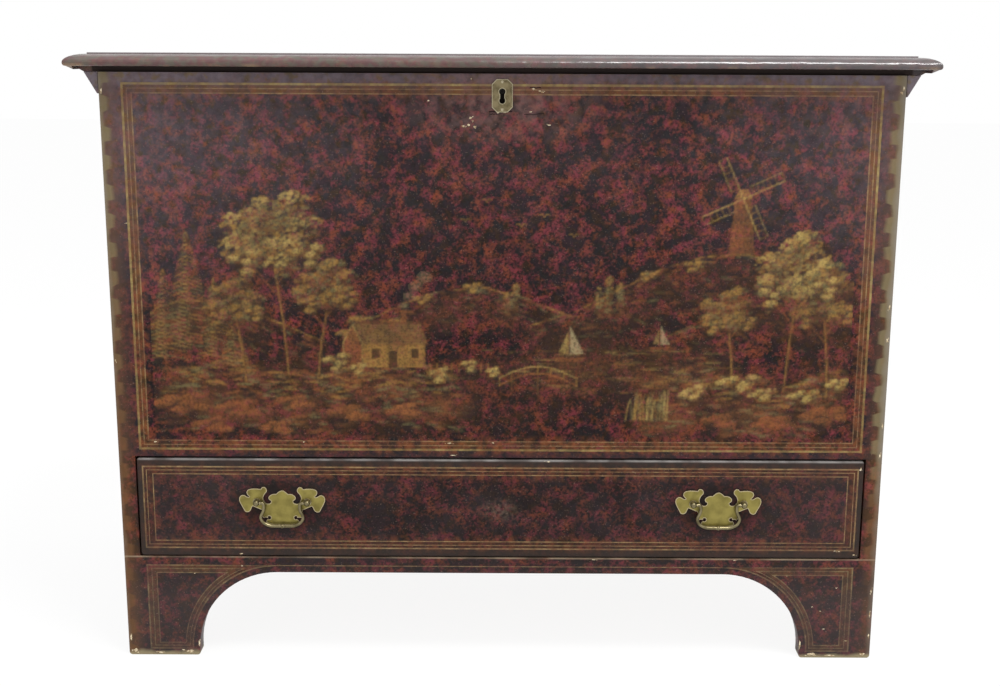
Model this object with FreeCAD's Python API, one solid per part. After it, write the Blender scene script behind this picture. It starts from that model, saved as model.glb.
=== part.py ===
import FreeCAD, Part
import math
import os

from FreeCAD import Vector

# A japanned pine blanket chest: a lidded box over one long drawer, on bracket feet.
# Millimetres. X runs to the right, Y to the back, Z up. The origin is on the floor,
# midway along the lid and midway between the lid's nose and the hinge knuckles.

# Case boards
CASE_WIDTH = 960.0
CASE_DEPTH = 460.0
PANEL_HEIGHT = 474.0
DRAWER_OPENING_HEIGHT = 133.0
APRON_DEPTH = 21.0
SIDE_THICKNESS = 20.0
FRONT_THICKNESS = 20.0
BACK_THICKNESS = 18.0
BACK_RABBET = 10.0
BACK_BOARD_GAP = 0.6
BOTTOM_THICKNESS = 16.0
BOTTOM_HOUSING = 6.0

# Bracket feet, cut in the apron and in the foot of each side
FOOT_WIDTH = 92.0
FOOT_STRAIGHT = 11.0
BRACKET_RADIUS = 103.0
SIDE_FOOT_WIDTH = 80.0
SIDE_BRACKET_RADIUS = 85.0
FOOT_TOE_ROUND = 4.0
CORNER_BLOCK_SIZE = 34.0
CORNER_BLOCK_LIFT = 6.0

# Lid, whose edge runs from the top down through a step, a thumb moulding, a nose and a chamfer.
# Along the front a rebate behind the nose leaves a shadow gap over the case.
LID_FRONT_OVERHANG = 30.0
LID_SIDE_OVERHANG = 32.5
LID_GAP = 0.5
LID_STEP = 1.5
LID_THUMB_WIDTH = 23.0
LID_THUMB_HEIGHT = 10.0
LID_NOSE_TURN = 4.0
LID_NOSE_BACKSET = 3.0
LID_CHAMFER_WIDTH = 11.5
LID_CHAMFER_HEIGHT = 6.5
LID_REBATE_SETBACK = 4.0
LID_REBATE_END = 10.0
ROUND_PULL_SHARE = 0.5523

# Battens under the ends of the lid
BATTEN_HEIGHT = 26.0
BATTEN_TOE = 2.0
BATTEN_CLEARANCE = 1.0
BATTEN_SETBACK = 3.0

# Drawer
DRAWER_FRONT_THICKNESS = 20.0
DRAWER_SIDE_THICKNESS = 12.0
DRAWER_BACK_THICKNESS = 12.0
DRAWER_BOTTOM_THICKNESS = 8.0
DRAWER_BOTTOM_LIFT = 8.0
DRAWER_GROOVE = 5.0
DRAWER_LAP = 6.0
DRAWER_EDGE_ROUND = 2.5
DRAWER_CORNER_ROUND = 4.0
DRAWER_SIDE_GAP = 1.5
DRAWER_TOP_GAP = 2.5
DRAWER_SILL_GAP = 1.0
DRAWER_SIDE_DROP = 5.0
DRAWER_BACK_SPACE = 20.0
DOVETAIL_WIDTH_SHARE = 0.6
DOVETAIL_SLOPE_SHARE = 1.0 / 7.0
DOVETAIL_COUNT = 4
RUNNER_WIDTH = 18.0
RUNNER_HEIGHT = 22.0
RUNNER_CLEARANCE = 0.3
STOP_HEIGHT = 30.0
STOP_CLEARANCE = 0.3

# Butt hinges, let into the top of the back and the underside of the lid
HINGE_INSET = 180.0
HINGE_LENGTH = 76.0
HINGE_LEAF_THICKNESS = 2.0
HINGE_LEAF_MARGIN = 3.0
HINGE_SETOFF = 0.4
KNUCKLE_RADIUS = 4.5
KNUCKLE_GAP = 0.3
KNUCKLE_COUNT = 5
HINGE_PIN_RADIUS = 2.2
HINGE_PIN_CLEARANCE = 0.05
HINGE_SCREW_COUNT = 3

# Slotted wood screws and square cut nails
SCREW_RADIUS = 1.7
SCREW_HEAD_RADIUS = 3.4
SCREW_HEAD_HEIGHT = 1.6
SCREW_LENGTH = 15.0
SCREW_SLOT_WIDTH = 0.8
SCREW_SLOT_DEPTH = 0.7
SCREW_CLEARANCE = 0.1
NAIL_WIDTH = 2.6
NAIL_HEAD_WIDTH = 5.6
NAIL_HEAD_THICKNESS = 1.4
NAIL_LENGTH = 42.0
RUNNER_NAIL_LENGTH = 32.0
BACK_NAIL_INSET = 30.0
PANEL_NAIL_COUNT = 4
APRON_NAIL_COUNT = 2
RUNNER_NAIL_COUNT = 3

# Keyhole and its plate
KEYHOLE_DROP = 21.0
KEYHOLE_LENGTH = 10.5
KEYHOLE_EYE_RADIUS = 3.75
KEYHOLE_LOBE_RADIUS = 3.5
KEYHOLE_WAIST = 5.0
KEYHOLE_RELIEF = 0.5
ESCUTCHEON_DROP = 6.2
ESCUTCHEON_WIDTH = 25.0
ESCUTCHEON_HEIGHT = 39.0
ESCUTCHEON_CORNER = 6.0
ESCUTCHEON_THICKNESS = 1.2
ESCUTCHEON_PIN_RADIUS = 0.8
ESCUTCHEON_PIN_HEAD_RADIUS = 1.3
ESCUTCHEON_PIN_HEAD = 0.5
ESCUTCHEON_PIN_LENGTH = 6.0
ESCUTCHEON_PIN_INSET = 3.2

# Lock: two staples drop from the lid, and a sliding bolt passes through them
STAPLE_SPACING = 44.0
STAPLE_LENGTH = 12.0
STAPLE_THICKNESS = 3.0
STAPLE_LEG = 1.2
STAPLE_TOE = 1.6
STAPLE_HOLE_WIDTH = 3.6
STAPLE_HOLE_HEIGHT = 5.5
STAPLE_CLEARANCE = 0.7
LINK_WIDTH = 13.0
LINK_THICKNESS = 2.0
LINK_EAR = 18.0
LINK_SCREW_INSET = 7.0
BOLT_THICKNESS = 2.5
BOLT_TRAVEL = 8.0
BOLT_STUD = 4.0
BOLT_TAIL = 10.0
BOLT_CLEARANCE = 0.3
FINGER_CLEARANCE = 0.6
FINGER_SETOFF = 1.0
TALON_RADIUS = 3.6
KEY_PIN_RADIUS = 2.5
KEY_PIN_ROOM = 2.4
KEY_PIN_SETBACK = 2.5
LOCK_WALL = 1.5
LOCK_CAP_THICKNESS = 1.5
LOCK_END_ROOM = 1.5
LOCK_TOE = 11.0
RIB_HEIGHT = 3.0
RIB_LENGTH = 14.0
SELVEDGE_LIP = 2.0
SELVEDGE_EAR = 11.0
SELVEDGE_THICKNESS = 2.0
SELVEDGE_SCREW_INSET = 5.5

# Drawer handles: a pierced plate, two posts with nuts, and a swan-neck bail
HANDLE_INSET = 204.0
HANDLE_RISE = 8.25
PLATE_WIDTH = 108.5
PLATE_HEIGHT = 50.0
PLATE_THICKNESS = 1.6
POST_SPACING = 64.0
POST_STANDOFF = 5.8
POST_HEAD_RADIUS = 4.0
POST_NECK_RADIUS = 2.7
POST_COLLAR_RADIUS = 5.0
POST_COLLAR_THICKNESS = 1.2
POST_SHANK_RADIUS = 2.4
POST_TAIL = 2.0
POST_CLEARANCE = 0.1
NUT_WIDTH = 11.0
NUT_THICKNESS = 4.0
BAIL_RADIUS = 2.0
BAIL_BEAD_RADIUS = 2.8
BAIL_PIVOT_RADIUS = 1.4
BAIL_PIVOT_DEPTH = 5.4
BAIL_PIVOT_CLEARANCE = 0.05
BAIL_SETOFF = 0.4
BAIL_DROP = 30.3
BAIL_NECK_INSET = 4.6
BAIL_PINCH = 0.6
BAIL_BOW = 4.6
BAIL_HEEL = 0.8
BAIL_CORNER_INSET = 8.0
BAIL_PINCH_SHARE = 0.28
BAIL_BOW_SHARE = 0.62
BAIL_HEEL_SHARE = 0.86
BEND_SHARE = 0.45

# Right half of the handle plate from its top to its bottom, as curves that meet at cusps.
# Each point is a share of half the plate's width, and of its height above the posts.
PLATE_OUTLINE_SHARES = (
    ((0.0, 0.300), (0.052, 0.282), (0.096, 0.248), (0.138, 0.204)),
    ((0.138, 0.204), (0.206, 0.204), (0.275, 0.172), (0.315, 0.112), (0.304, 0.060), (0.269, 0.038)),
    ((0.269, 0.038), (0.262, -0.016), (0.310, -0.052), (0.372, -0.042), (0.418, 0.010), (0.441, 0.084),
     (0.422, 0.168), (0.363, 0.252)),
    ((0.363, 0.252), (0.354, 0.320), (0.391, 0.378), (0.446, 0.386), (0.485, 0.332)),
    ((0.485, 0.332), (0.590, 0.346), (0.710, 0.342), (0.804, 0.298), (0.822, 0.228), (0.796, 0.172),
     (0.756, 0.132)),
    ((0.756, 0.132), (0.822, 0.132), (0.877, 0.170), (0.951, 0.164), (1.0, 0.084), (0.981, -0.032),
     (0.927, -0.148), (0.885, -0.240)),
    ((0.885, -0.240), (0.822, -0.276), (0.759, -0.248), (0.726, -0.184), (0.689, -0.116)),
    ((0.689, -0.116), (0.619, -0.148), (0.553, -0.180), (0.490, -0.208)),
    ((0.490, -0.208), (0.466, -0.280), (0.476, -0.360), (0.439, -0.432)),
    ((0.439, -0.432), (0.387, -0.414), (0.343, -0.428)),
    ((0.343, -0.428), (0.324, -0.376), (0.280, -0.388), (0.273, -0.442), (0.321, -0.466)),
    ((0.321, -0.466), (0.374, -0.488), (0.380, -0.546), (0.302, -0.594), (0.159, -0.612), (0.0, -0.612)),
)

# How far a cut runs past the face that it opens
OVERRUN = 5.0

# Heights that follow from the sizes above
FOOT_HEIGHT = FOOT_STRAIGHT + BRACKET_RADIUS
SILL_HEIGHT = FOOT_HEIGHT + APRON_DEPTH
OPENING_TOP = SILL_HEIGHT + DRAWER_OPENING_HEIGHT
CASE_HEIGHT = OPENING_TOP + PANEL_HEIGHT
LID_BASE = CASE_HEIGHT + LID_GAP
LID_TOP = LID_BASE + LID_CHAMFER_HEIGHT + LID_NOSE_TURN + LID_THUMB_HEIGHT + LID_STEP

# Places along the depth
KNUCKLE_REACH = HINGE_SETOFF + 2 * KNUCKLE_RADIUS
FRONT_Y = (LID_FRONT_OVERHANG - CASE_DEPTH - KNUCKLE_REACH) / 2
BACK_Y = FRONT_Y + CASE_DEPTH
PANEL_INNER_Y = FRONT_Y + FRONT_THICKNESS
BACK_INNER_Y = BACK_Y - BACK_THICKNESS
HINGE_Y = BACK_Y + HINGE_SETOFF + KNUCKLE_RADIUS
HINGE_Z = CASE_HEIGHT + LID_GAP / 2
HINGE_LEAF_WIDTH = BACK_THICKNESS - HINGE_LEAF_MARGIN

# Places along the width
HALF_WIDTH = CASE_WIDTH / 2
HALF_INNER = HALF_WIDTH - SIDE_THICKNESS
HALF_LID = HALF_WIDTH + LID_SIDE_OVERHANG
HINGE_X = HALF_WIDTH - HINGE_INSET
HANDLE_X = HALF_WIDTH - HANDLE_INSET

# Drawer places
HALF_DRAWER = HALF_INNER - DRAWER_SIDE_GAP
DRAWER_BASE = SILL_HEIGHT + DRAWER_SILL_GAP
DRAWER_TOP = OPENING_TOP - DRAWER_TOP_GAP
DRAWER_SIDE_TOP = DRAWER_TOP - DRAWER_SIDE_DROP
DRAWER_INNER_Y = FRONT_Y + DRAWER_FRONT_THICKNESS
DRAWER_BACK_Y = BACK_INNER_Y - DRAWER_BACK_SPACE
DRAWER_FLOOR = DRAWER_BASE + DRAWER_BOTTOM_LIFT + DRAWER_BOTTOM_THICKNESS
RUNNER_TOP = DRAWER_BASE - RUNNER_CLEARANCE
HANDLE_Z = (DRAWER_BASE + DRAWER_TOP) / 2 + HANDLE_RISE
POST_HEAD_Y = FRONT_Y - PLATE_THICKNESS - POST_STANDOFF

# Lock places, worked out from the bolt and the staples that the lock has to hold
STAPLE_WIDTH = STAPLE_HOLE_WIDTH + 2 * STAPLE_LEG
STAPLE_BASE = LID_BASE - STAPLE_LENGTH
STAPLE_HOLE_BASE = STAPLE_BASE + STAPLE_TOE
LOCK_DEPTH = (LOCK_WALL + BOLT_CLEARANCE + BOLT_THICKNESS + 2 * STAPLE_CLEARANCE + STAPLE_WIDTH
              + LOCK_CAP_THICKNESS)
LOCK_OUTER_Y = PANEL_INNER_Y - LOCK_DEPTH
BOLT_BACK_Y = PANEL_INNER_Y - LOCK_WALL - BOLT_CLEARANCE
BOLT_FRONT_Y = BOLT_BACK_Y - BOLT_THICKNESS
STAPLE_Y = BOLT_FRONT_Y - STAPLE_CLEARANCE - STAPLE_WIDTH / 2
FINGER_BASE = STAPLE_HOLE_BASE + FINGER_CLEARANCE
FINGER_TOP = STAPLE_HOLE_BASE + STAPLE_HOLE_HEIGHT - FINGER_CLEARANCE
FINGER_HALF_WIDTH = STAPLE_HOLE_WIDTH / 2 - FINGER_CLEARANCE
FINGER_REACH = STAPLE_THICKNESS / 2 + FINGER_SETOFF
STUD_REACH = FINGER_REACH + BOLT_TRAVEL + BOLT_STUD
KEYHOLE_Z = CASE_HEIGHT - KEYHOLE_DROP
BOLT_BASE = KEYHOLE_Z + KEY_PIN_RADIUS + KEY_PIN_ROOM
HALF_LOCK = STAPLE_SPACING / 2 + STUD_REACH + LOCK_END_ROOM + LOCK_WALL
HALF_SELVEDGE = HALF_LOCK + SELVEDGE_EAR
LOCK_BASE = KEYHOLE_Z - KEYHOLE_LENGTH - KEYHOLE_LOBE_RADIUS - LOCK_TOE
SELVEDGE_BASE = CASE_HEIGHT - SELVEDGE_THICKNESS
HALF_LINK = STAPLE_SPACING / 2 + LINK_EAR

X_AXIS = Vector(1, 0, 0)
Y_AXIS = Vector(0, 1, 0)
Z_AXIS = Vector(0, 0, 1)


def block(x, y, z):
    """Square-cornered solid; each argument is the low and high place on that axis."""
    return Part.makeBox(x[1] - x[0], y[1] - y[0], z[1] - z[0], Vector(x[0], y[0], z[0]))


def rod(start, direction, length, radius):
    return Part.makeCylinder(radius, length, start, direction)


def prism(outline, travel):
    """Solid swept along a straight travel from a closed outline of points."""
    return Part.Face(Part.makePolygon(outline + outline[:1])).extrude(travel)


def flipped(shape):
    """The same piece for the other side of the chest."""
    return shape.mirror(Vector(0, 0, 0), X_AXIS)


def without(shape, cuts):
    """The shape less every cut."""
    for cut in cuts:
        shape = shape.cut(cut)
    return shape


def joined(shapes):
    whole = shapes[0]
    for shape in shapes[1:]:
        whole = whole.fuse(shape)
    return whole.removeSplitter()


def spaced(low, high, count):
    """Places of a row of equal shares between two ends, one in the middle of each share."""
    pitch = (high - low) / count
    return [low + pitch * (i + 0.5) for i in range(count)]


def nail(head, direction, length):
    """Square cut nail with a flat head, whose face is at the given place."""
    side = X_AXIS if abs(direction.x) < abs(direction.y) + abs(direction.z) else Z_AXIS
    across = direction.cross(side)

    def bar(width, depth):
        half = width / 2
        corners = [head + side * (half * a) + across * (half * b) for a, b in
                   ((-1, -1), (1, -1), (1, 1), (-1, 1))]
        return prism(corners, direction * depth)

    return joined([bar(NAIL_WIDTH, length), bar(NAIL_HEAD_WIDTH, NAIL_HEAD_THICKNESS)])


def screw_body(head, direction, clearance):
    """Countersunk head and shank of a wood screw, whose flat face is at the given place."""
    cone = Part.makeCone(SCREW_HEAD_RADIUS + clearance, SCREW_RADIUS + clearance,
                         SCREW_HEAD_HEIGHT, head, direction)
    shank = rod(head, direction, SCREW_LENGTH + clearance, SCREW_RADIUS + clearance)
    return joined([cone, shank])


def screw(head, direction):
    slot = block((head.x - SCREW_HEAD_RADIUS, head.x + SCREW_HEAD_RADIUS),
                 (head.y - SCREW_SLOT_WIDTH / 2, head.y + SCREW_SLOT_WIDTH / 2),
                 (head.z - SCREW_SLOT_DEPTH, head.z + SCREW_SLOT_DEPTH))
    return screw_body(head, direction, 0).cut(slot)


def screw_holes(heads, direction):
    return [screw_body(head, direction, SCREW_CLEARANCE) for head in heads]


def arch(low, high, straight, radius, place, travel):
    """Space under a board between two bracket feet: upright edges, then quarter circles to a flat top.

    place turns a distance along the board and a height into a point.
    """
    diagonal = radius * math.sqrt(0.5)
    top = straight + radius
    left_foot = place(low, straight)
    left_top = place(low + radius, top)
    right_top = place(high - radius, top)
    right_foot = place(high, straight)
    left_ground = place(low, -OVERRUN)
    right_ground = place(high, -OVERRUN)
    left_middle = place(low + radius - diagonal, straight + diagonal)
    right_middle = place(high - radius + diagonal, straight + diagonal)
    edges = [
        Part.LineSegment(left_ground, left_foot),
        Part.Arc(left_foot, left_middle, left_top),
        Part.LineSegment(left_top, right_top),
        Part.Arc(right_top, right_middle, right_foot),
        Part.LineSegment(right_foot, right_ground),
        Part.LineSegment(right_ground, left_ground),
    ]
    return Part.Face(Part.Wire([edge.toShape() for edge in edges])).extrude(travel)


def toes_rounded(board):
    """The board with the corners of its feet worn round where they meet the floor."""
    toes = [edge for edge in board.Edges
            if all(abs(vertex.Z) < FOOT_TOE_ROUND for vertex in edge.Vertexes)
            and abs(edge.tangentAt(edge.FirstParameter).y) > abs(edge.tangentAt(edge.FirstParameter).x)]
    return board.makeFillet(FOOT_TOE_ROUND, toes)


# Places of the fasteners


def front_nail_heads():
    """Nails through the front panel and the apron into the edges of the sides."""
    x = HALF_WIDTH - SIDE_THICKNESS / 2
    heights = (spaced(OPENING_TOP, CASE_HEIGHT, PANEL_NAIL_COUNT)
               + spaced(0, SILL_HEIGHT, APRON_NAIL_COUNT))
    return [Vector(side * x, FRONT_Y, z) for side in (-1, 1) for z in heights]


def back_nail_heads():
    x = HALF_INNER + BACK_RABBET / 2
    heights = [z for low, high in back_board_spans() for z in (low + BACK_NAIL_INSET, high - BACK_NAIL_INSET)]
    return [Vector(side * x, BACK_Y, z) for side in (-1, 1) for z in heights]


def runner_nail_heads():
    """Nails through the right runner; the left runner's are their mirror image."""
    z = RUNNER_TOP - RUNNER_HEIGHT / 2
    x = HALF_INNER - RUNNER_WIDTH
    return [Vector(x, y, z) for y in spaced(PANEL_INNER_Y, BACK_INNER_Y, RUNNER_NAIL_COUNT)]


def hinge_screw_heads(z):
    """Screw heads of both hinges' leaves, in the leaf face at the given height."""
    heads = []
    for side in (-1, 1):
        middle = side * HINGE_X
        for x in spaced(middle - HINGE_LENGTH / 2, middle + HINGE_LENGTH / 2, HINGE_SCREW_COUNT):
            heads.append(Vector(x, BACK_Y - HINGE_LEAF_WIDTH / 2, z))
    return heads


def selvedge_screw_heads():
    x = HALF_SELVEDGE - SELVEDGE_SCREW_INSET
    y = PANEL_INNER_Y - (LOCK_DEPTH + SELVEDGE_LIP) / 2
    return [Vector(side * x, y, CASE_HEIGHT) for side in (-1, 1)]


def link_screw_heads():
    x = HALF_LINK - LINK_SCREW_INSET
    return [Vector(side * x, STAPLE_Y, LID_BASE) for side in (-1, 1)]


def escutcheon_pin_heads():
    top = CASE_HEIGHT - ESCUTCHEON_DROP
    heights = (top - ESCUTCHEON_PIN_INSET, top - ESCUTCHEON_HEIGHT + ESCUTCHEON_PIN_INSET)
    return [Vector(0, FRONT_Y - ESCUTCHEON_THICKNESS, z) for z in heights]


def post_places(side):
    """Where the two posts of one handle pass through the face of the drawer."""
    middle = side * HANDLE_X
    return [Vector(middle + end * POST_SPACING / 2, FRONT_Y, HANDLE_Z) for end in (-1, 1)]


# Case


def back_board_spans():
    """Low and high edge of each back board, from the lowest up."""
    board_count = 3
    pitch = (CASE_HEIGHT - FOOT_HEIGHT + BACK_BOARD_GAP) / board_count
    return [(FOOT_HEIGHT + pitch * i, FOOT_HEIGHT + pitch * (i + 1) - BACK_BOARD_GAP)
            for i in range(board_count)]


def bottom_blank():
    """Floor of the chest, which is also the shape of its housings in the sides."""
    half = HALF_INNER + BOTTOM_HOUSING
    return block((-half, half), (PANEL_INNER_Y, BACK_INNER_Y),
                 (OPENING_TOP, OPENING_TOP + BOTTOM_THICKNESS))


def chest_bottom():
    return without(bottom_blank(), [nail(head, -Y_AXIS, NAIL_LENGTH) for head in back_nail_heads()])


def right_side():
    """One board from the floor to the lid, whose front edge shows beside the drawer."""
    thickness = (HALF_INNER, HALF_WIDTH)
    board = joined([
        block(thickness, (PANEL_INNER_Y, BACK_Y), (0, CASE_HEIGHT)),
        block(thickness, (FRONT_Y, PANEL_INNER_Y), (SILL_HEIGHT, OPENING_TOP)),
    ])
    rabbet = block((HALF_INNER - OVERRUN, HALF_INNER + BACK_RABBET), (BACK_INNER_Y, BACK_Y + OVERRUN),
                   (FOOT_HEIGHT, CASE_HEIGHT + OVERRUN))
    foot_arch = arch(FRONT_Y + SIDE_FOOT_WIDTH, BACK_Y - SIDE_FOOT_WIDTH,
                     FOOT_HEIGHT - SIDE_BRACKET_RADIUS, SIDE_BRACKET_RADIUS,
                     lambda y, z: Vector(HALF_INNER - OVERRUN, y, z),
                     X_AXIS * (SIDE_THICKNESS + 2 * OVERRUN))
    nails = [nail(head, Y_AXIS, NAIL_LENGTH) for head in front_nail_heads() if head.x > 0]
    nails += [nail(head, -Y_AXIS, NAIL_LENGTH) for head in back_nail_heads() if head.x > 0]
    nails += [nail(head, X_AXIS, RUNNER_NAIL_LENGTH) for head in runner_nail_heads()]
    return without(toes_rounded(board.cut(foot_arch)), [rabbet, bottom_blank()] + nails)


def keyhole(relief):
    """Long keyhole along the depth, as much wider all round as the relief says."""
    start = FRONT_Y - OVERRUN
    length = FRONT_THICKNESS + 2 * OVERRUN
    eye = rod(Vector(0, start, KEYHOLE_Z), Y_AXIS, length, KEYHOLE_EYE_RADIUS + relief)
    lobe_z = KEYHOLE_Z - KEYHOLE_LENGTH
    lobe = rod(Vector(0, start, lobe_z), Y_AXIS, length, KEYHOLE_LOBE_RADIUS + relief)
    half_waist = KEYHOLE_WAIST / 2 + relief
    waist = block((-half_waist, half_waist), (start, start + length), (lobe_z, KEYHOLE_Z))
    return joined([eye, lobe, waist])


def front_panel():
    board = block((-HALF_WIDTH, HALF_WIDTH), (FRONT_Y, PANEL_INNER_Y), (OPENING_TOP, CASE_HEIGHT))
    lock_recess = block((-HALF_LOCK, HALF_LOCK), (LOCK_OUTER_Y, PANEL_INNER_Y + OVERRUN),
                        (LOCK_BASE, CASE_HEIGHT + OVERRUN))
    selvedge_recess = block((-HALF_SELVEDGE, HALF_SELVEDGE),
                            (LOCK_OUTER_Y - SELVEDGE_LIP, PANEL_INNER_Y + OVERRUN),
                            (SELVEDGE_BASE, CASE_HEIGHT + OVERRUN))
    nails = [nail(head, Y_AXIS, NAIL_LENGTH) for head in front_nail_heads()]
    pins = [escutcheon_pin(head, POST_CLEARANCE) for head in escutcheon_pin_heads()]
    screws = screw_holes(selvedge_screw_heads(), -Z_AXIS)
    return without(board, [lock_recess, selvedge_recess, keyhole(KEYHOLE_RELIEF)] + nails + pins + screws)


def front_apron():
    """Board under the drawer, cut to a shallow rail between two bracket feet."""
    board = block((-HALF_WIDTH, HALF_WIDTH), (FRONT_Y, PANEL_INNER_Y), (0, SILL_HEIGHT))
    opening = arch(FOOT_WIDTH - HALF_WIDTH, HALF_WIDTH - FOOT_WIDTH, FOOT_STRAIGHT, BRACKET_RADIUS,
                   lambda x, z: Vector(x, FRONT_Y - OVERRUN, z),
                   Y_AXIS * (FRONT_THICKNESS + 2 * OVERRUN))
    nails = [nail(head, Y_AXIS, NAIL_LENGTH) for head in front_nail_heads()]
    return without(toes_rounded(board.cut(opening)), nails)


def back_board(low, high):
    half = HALF_INNER + BACK_RABBET
    board = block((-half, half), (BACK_INNER_Y, BACK_Y), (low, high))
    nails = [nail(head, -Y_AXIS, NAIL_LENGTH) for head in back_nail_heads() if low < head.z < high]
    mortises = [hinge_leaf_plate(side, CASE_HEIGHT - HINGE_LEAF_THICKNESS) for side in (-1, 1)]
    screws = screw_holes(hinge_screw_heads(CASE_HEIGHT), -Z_AXIS)
    return without(board, nails + mortises + screws)


def right_runner():
    board = block((HALF_INNER - RUNNER_WIDTH, HALF_INNER), (PANEL_INNER_Y, BACK_INNER_Y),
                  (RUNNER_TOP - RUNNER_HEIGHT, RUNNER_TOP))
    return without(board, [nail(head, X_AXIS, RUNNER_NAIL_LENGTH) for head in runner_nail_heads()])


def right_drawer_stop():
    """Block on the back end of the runner that the closed drawer comes up against."""
    return block((HALF_INNER - RUNNER_WIDTH, HALF_INNER), (DRAWER_BACK_Y + STOP_CLEARANCE, BACK_INNER_Y),
                 (RUNNER_TOP, RUNNER_TOP + STOP_HEIGHT))


def right_corner_block():
    """Three-cornered glue block behind a front foot, up to the runner."""
    corner = Vector(HALF_INNER, PANEL_INNER_Y, CORNER_BLOCK_LIFT)
    outline = [corner, corner - X_AXIS * CORNER_BLOCK_SIZE, corner + Y_AXIS * CORNER_BLOCK_SIZE]
    return prism(outline, Z_AXIS * (RUNNER_TOP - RUNNER_HEIGHT - CORNER_BLOCK_LIFT))


# Lid


def lid_edge(place):
    """Moulded edge from the top of the step down to the underside.

    place turns a distance in from the nose and a height into a point.
    """
    nose_z = LID_BASE + LID_CHAMFER_HEIGHT + LID_NOSE_TURN
    thumb_z = nose_z + LID_THUMB_HEIGHT
    chamfer_z = LID_BASE + LID_CHAMFER_HEIGHT
    thumb = Part.BezierCurve()
    thumb.setPoles([
        place(LID_THUMB_WIDTH, thumb_z),
        place(LID_THUMB_WIDTH * (1 - ROUND_PULL_SHARE), thumb_z),
        place(0, nose_z + LID_THUMB_HEIGHT * ROUND_PULL_SHARE),
        place(0, nose_z),
    ])
    turn = Part.BezierCurve()
    turn.setPoles([place(0, nose_z), place(0, chamfer_z), place(LID_NOSE_BACKSET, chamfer_z)])
    step = Part.LineSegment(place(LID_THUMB_WIDTH, LID_TOP), place(LID_THUMB_WIDTH, thumb_z))
    chamfer = Part.LineSegment(place(LID_NOSE_BACKSET, chamfer_z),
                               place(LID_NOSE_BACKSET + LID_CHAMFER_WIDTH, LID_BASE))
    return [curve.toShape() for curve in (step, thumb, turn, chamfer)]


def section(edges, closing_points, travel):
    """Solid swept from a row of edges that is closed by straight lines through the given points."""
    lines = [Part.makeLine(a, b) for a, b in zip(closing_points, closing_points[1:])]
    return Part.Face(Part.Wire(Part.__sortEdges__(edges + lines))).extrude(travel)


def moulded_board():
    """Board with the moulding on its front and ends, mitred where two lengths meet."""
    nose_y = FRONT_Y - LID_FRONT_OVERHANG
    inset = LID_NOSE_BACKSET + LID_CHAMFER_WIDTH
    x = -HALF_LID - OVERRUN
    along_front = section(
        lid_edge(lambda w, z: Vector(x, nose_y + w, z)),
        [Vector(x, nose_y + inset, LID_BASE), Vector(x, BACK_Y, LID_BASE),
         Vector(x, BACK_Y, LID_TOP), Vector(x, nose_y + LID_THUMB_WIDTH, LID_TOP)],
        X_AXIS * (2 * HALF_LID + 2 * OVERRUN))
    y = nose_y - OVERRUN
    left = lid_edge(lambda w, z: Vector(w - HALF_LID, y, z))
    right = lid_edge(lambda w, z: Vector(HALF_LID - w, y, z))
    underside = Part.makeLine(Vector(inset - HALF_LID, y, LID_BASE), Vector(HALF_LID - inset, y, LID_BASE))
    top = [Vector(LID_THUMB_WIDTH - HALF_LID, y, LID_TOP), Vector(HALF_LID - LID_THUMB_WIDTH, y, LID_TOP)]
    across = section(left + right + [underside], top, Y_AXIS * (BACK_Y - y + OVERRUN))
    return along_front.common(across)


def lid_rebate():
    """Space behind the front nose, between the end mouldings."""
    half = HALF_LID - LID_REBATE_END
    return block((-half, half), (FRONT_Y - LID_FRONT_OVERHANG - OVERRUN, FRONT_Y + LID_REBATE_SETBACK),
                 (LID_BASE - OVERRUN, LID_BASE + LID_CHAMFER_HEIGHT))


def lid_board():
    mortises = [hinge_leaf_plate(side, LID_BASE) for side in (-1, 1)]
    screws = screw_holes(hinge_screw_heads(LID_BASE) + link_screw_heads(), Z_AXIS)
    return without(moulded_board(), [lid_rebate(), link_plate_blank()] + mortises + screws)


def right_batten():
    """Raked batten that hangs below the end of the lid, outside the case."""
    inner = HALF_WIDTH + BATTEN_CLEARANCE
    outer = HALF_LID - LID_NOSE_BACKSET - LID_CHAMFER_WIDTH
    y = FRONT_Y + BATTEN_SETBACK
    outline = [Vector(inner, y, LID_BASE), Vector(outer, y, LID_BASE),
               Vector(inner + BATTEN_TOE, y, LID_BASE - BATTEN_HEIGHT),
               Vector(inner, y, LID_BASE - BATTEN_HEIGHT)]
    return prism(outline, Y_AXIS * (BACK_Y - y))


# Hinges


def hinge_span(side):
    middle = side * HINGE_X
    return (middle - HINGE_LENGTH / 2, middle + HINGE_LENGTH / 2)


def hinge_leaf_plate(side, base):
    """Flat of a hinge leaf, which is also the shape of its mortise."""
    return block(hinge_span(side), (BACK_Y - HINGE_LEAF_WIDTH, BACK_Y),
                 (base, base + HINGE_LEAF_THICKNESS))


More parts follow.
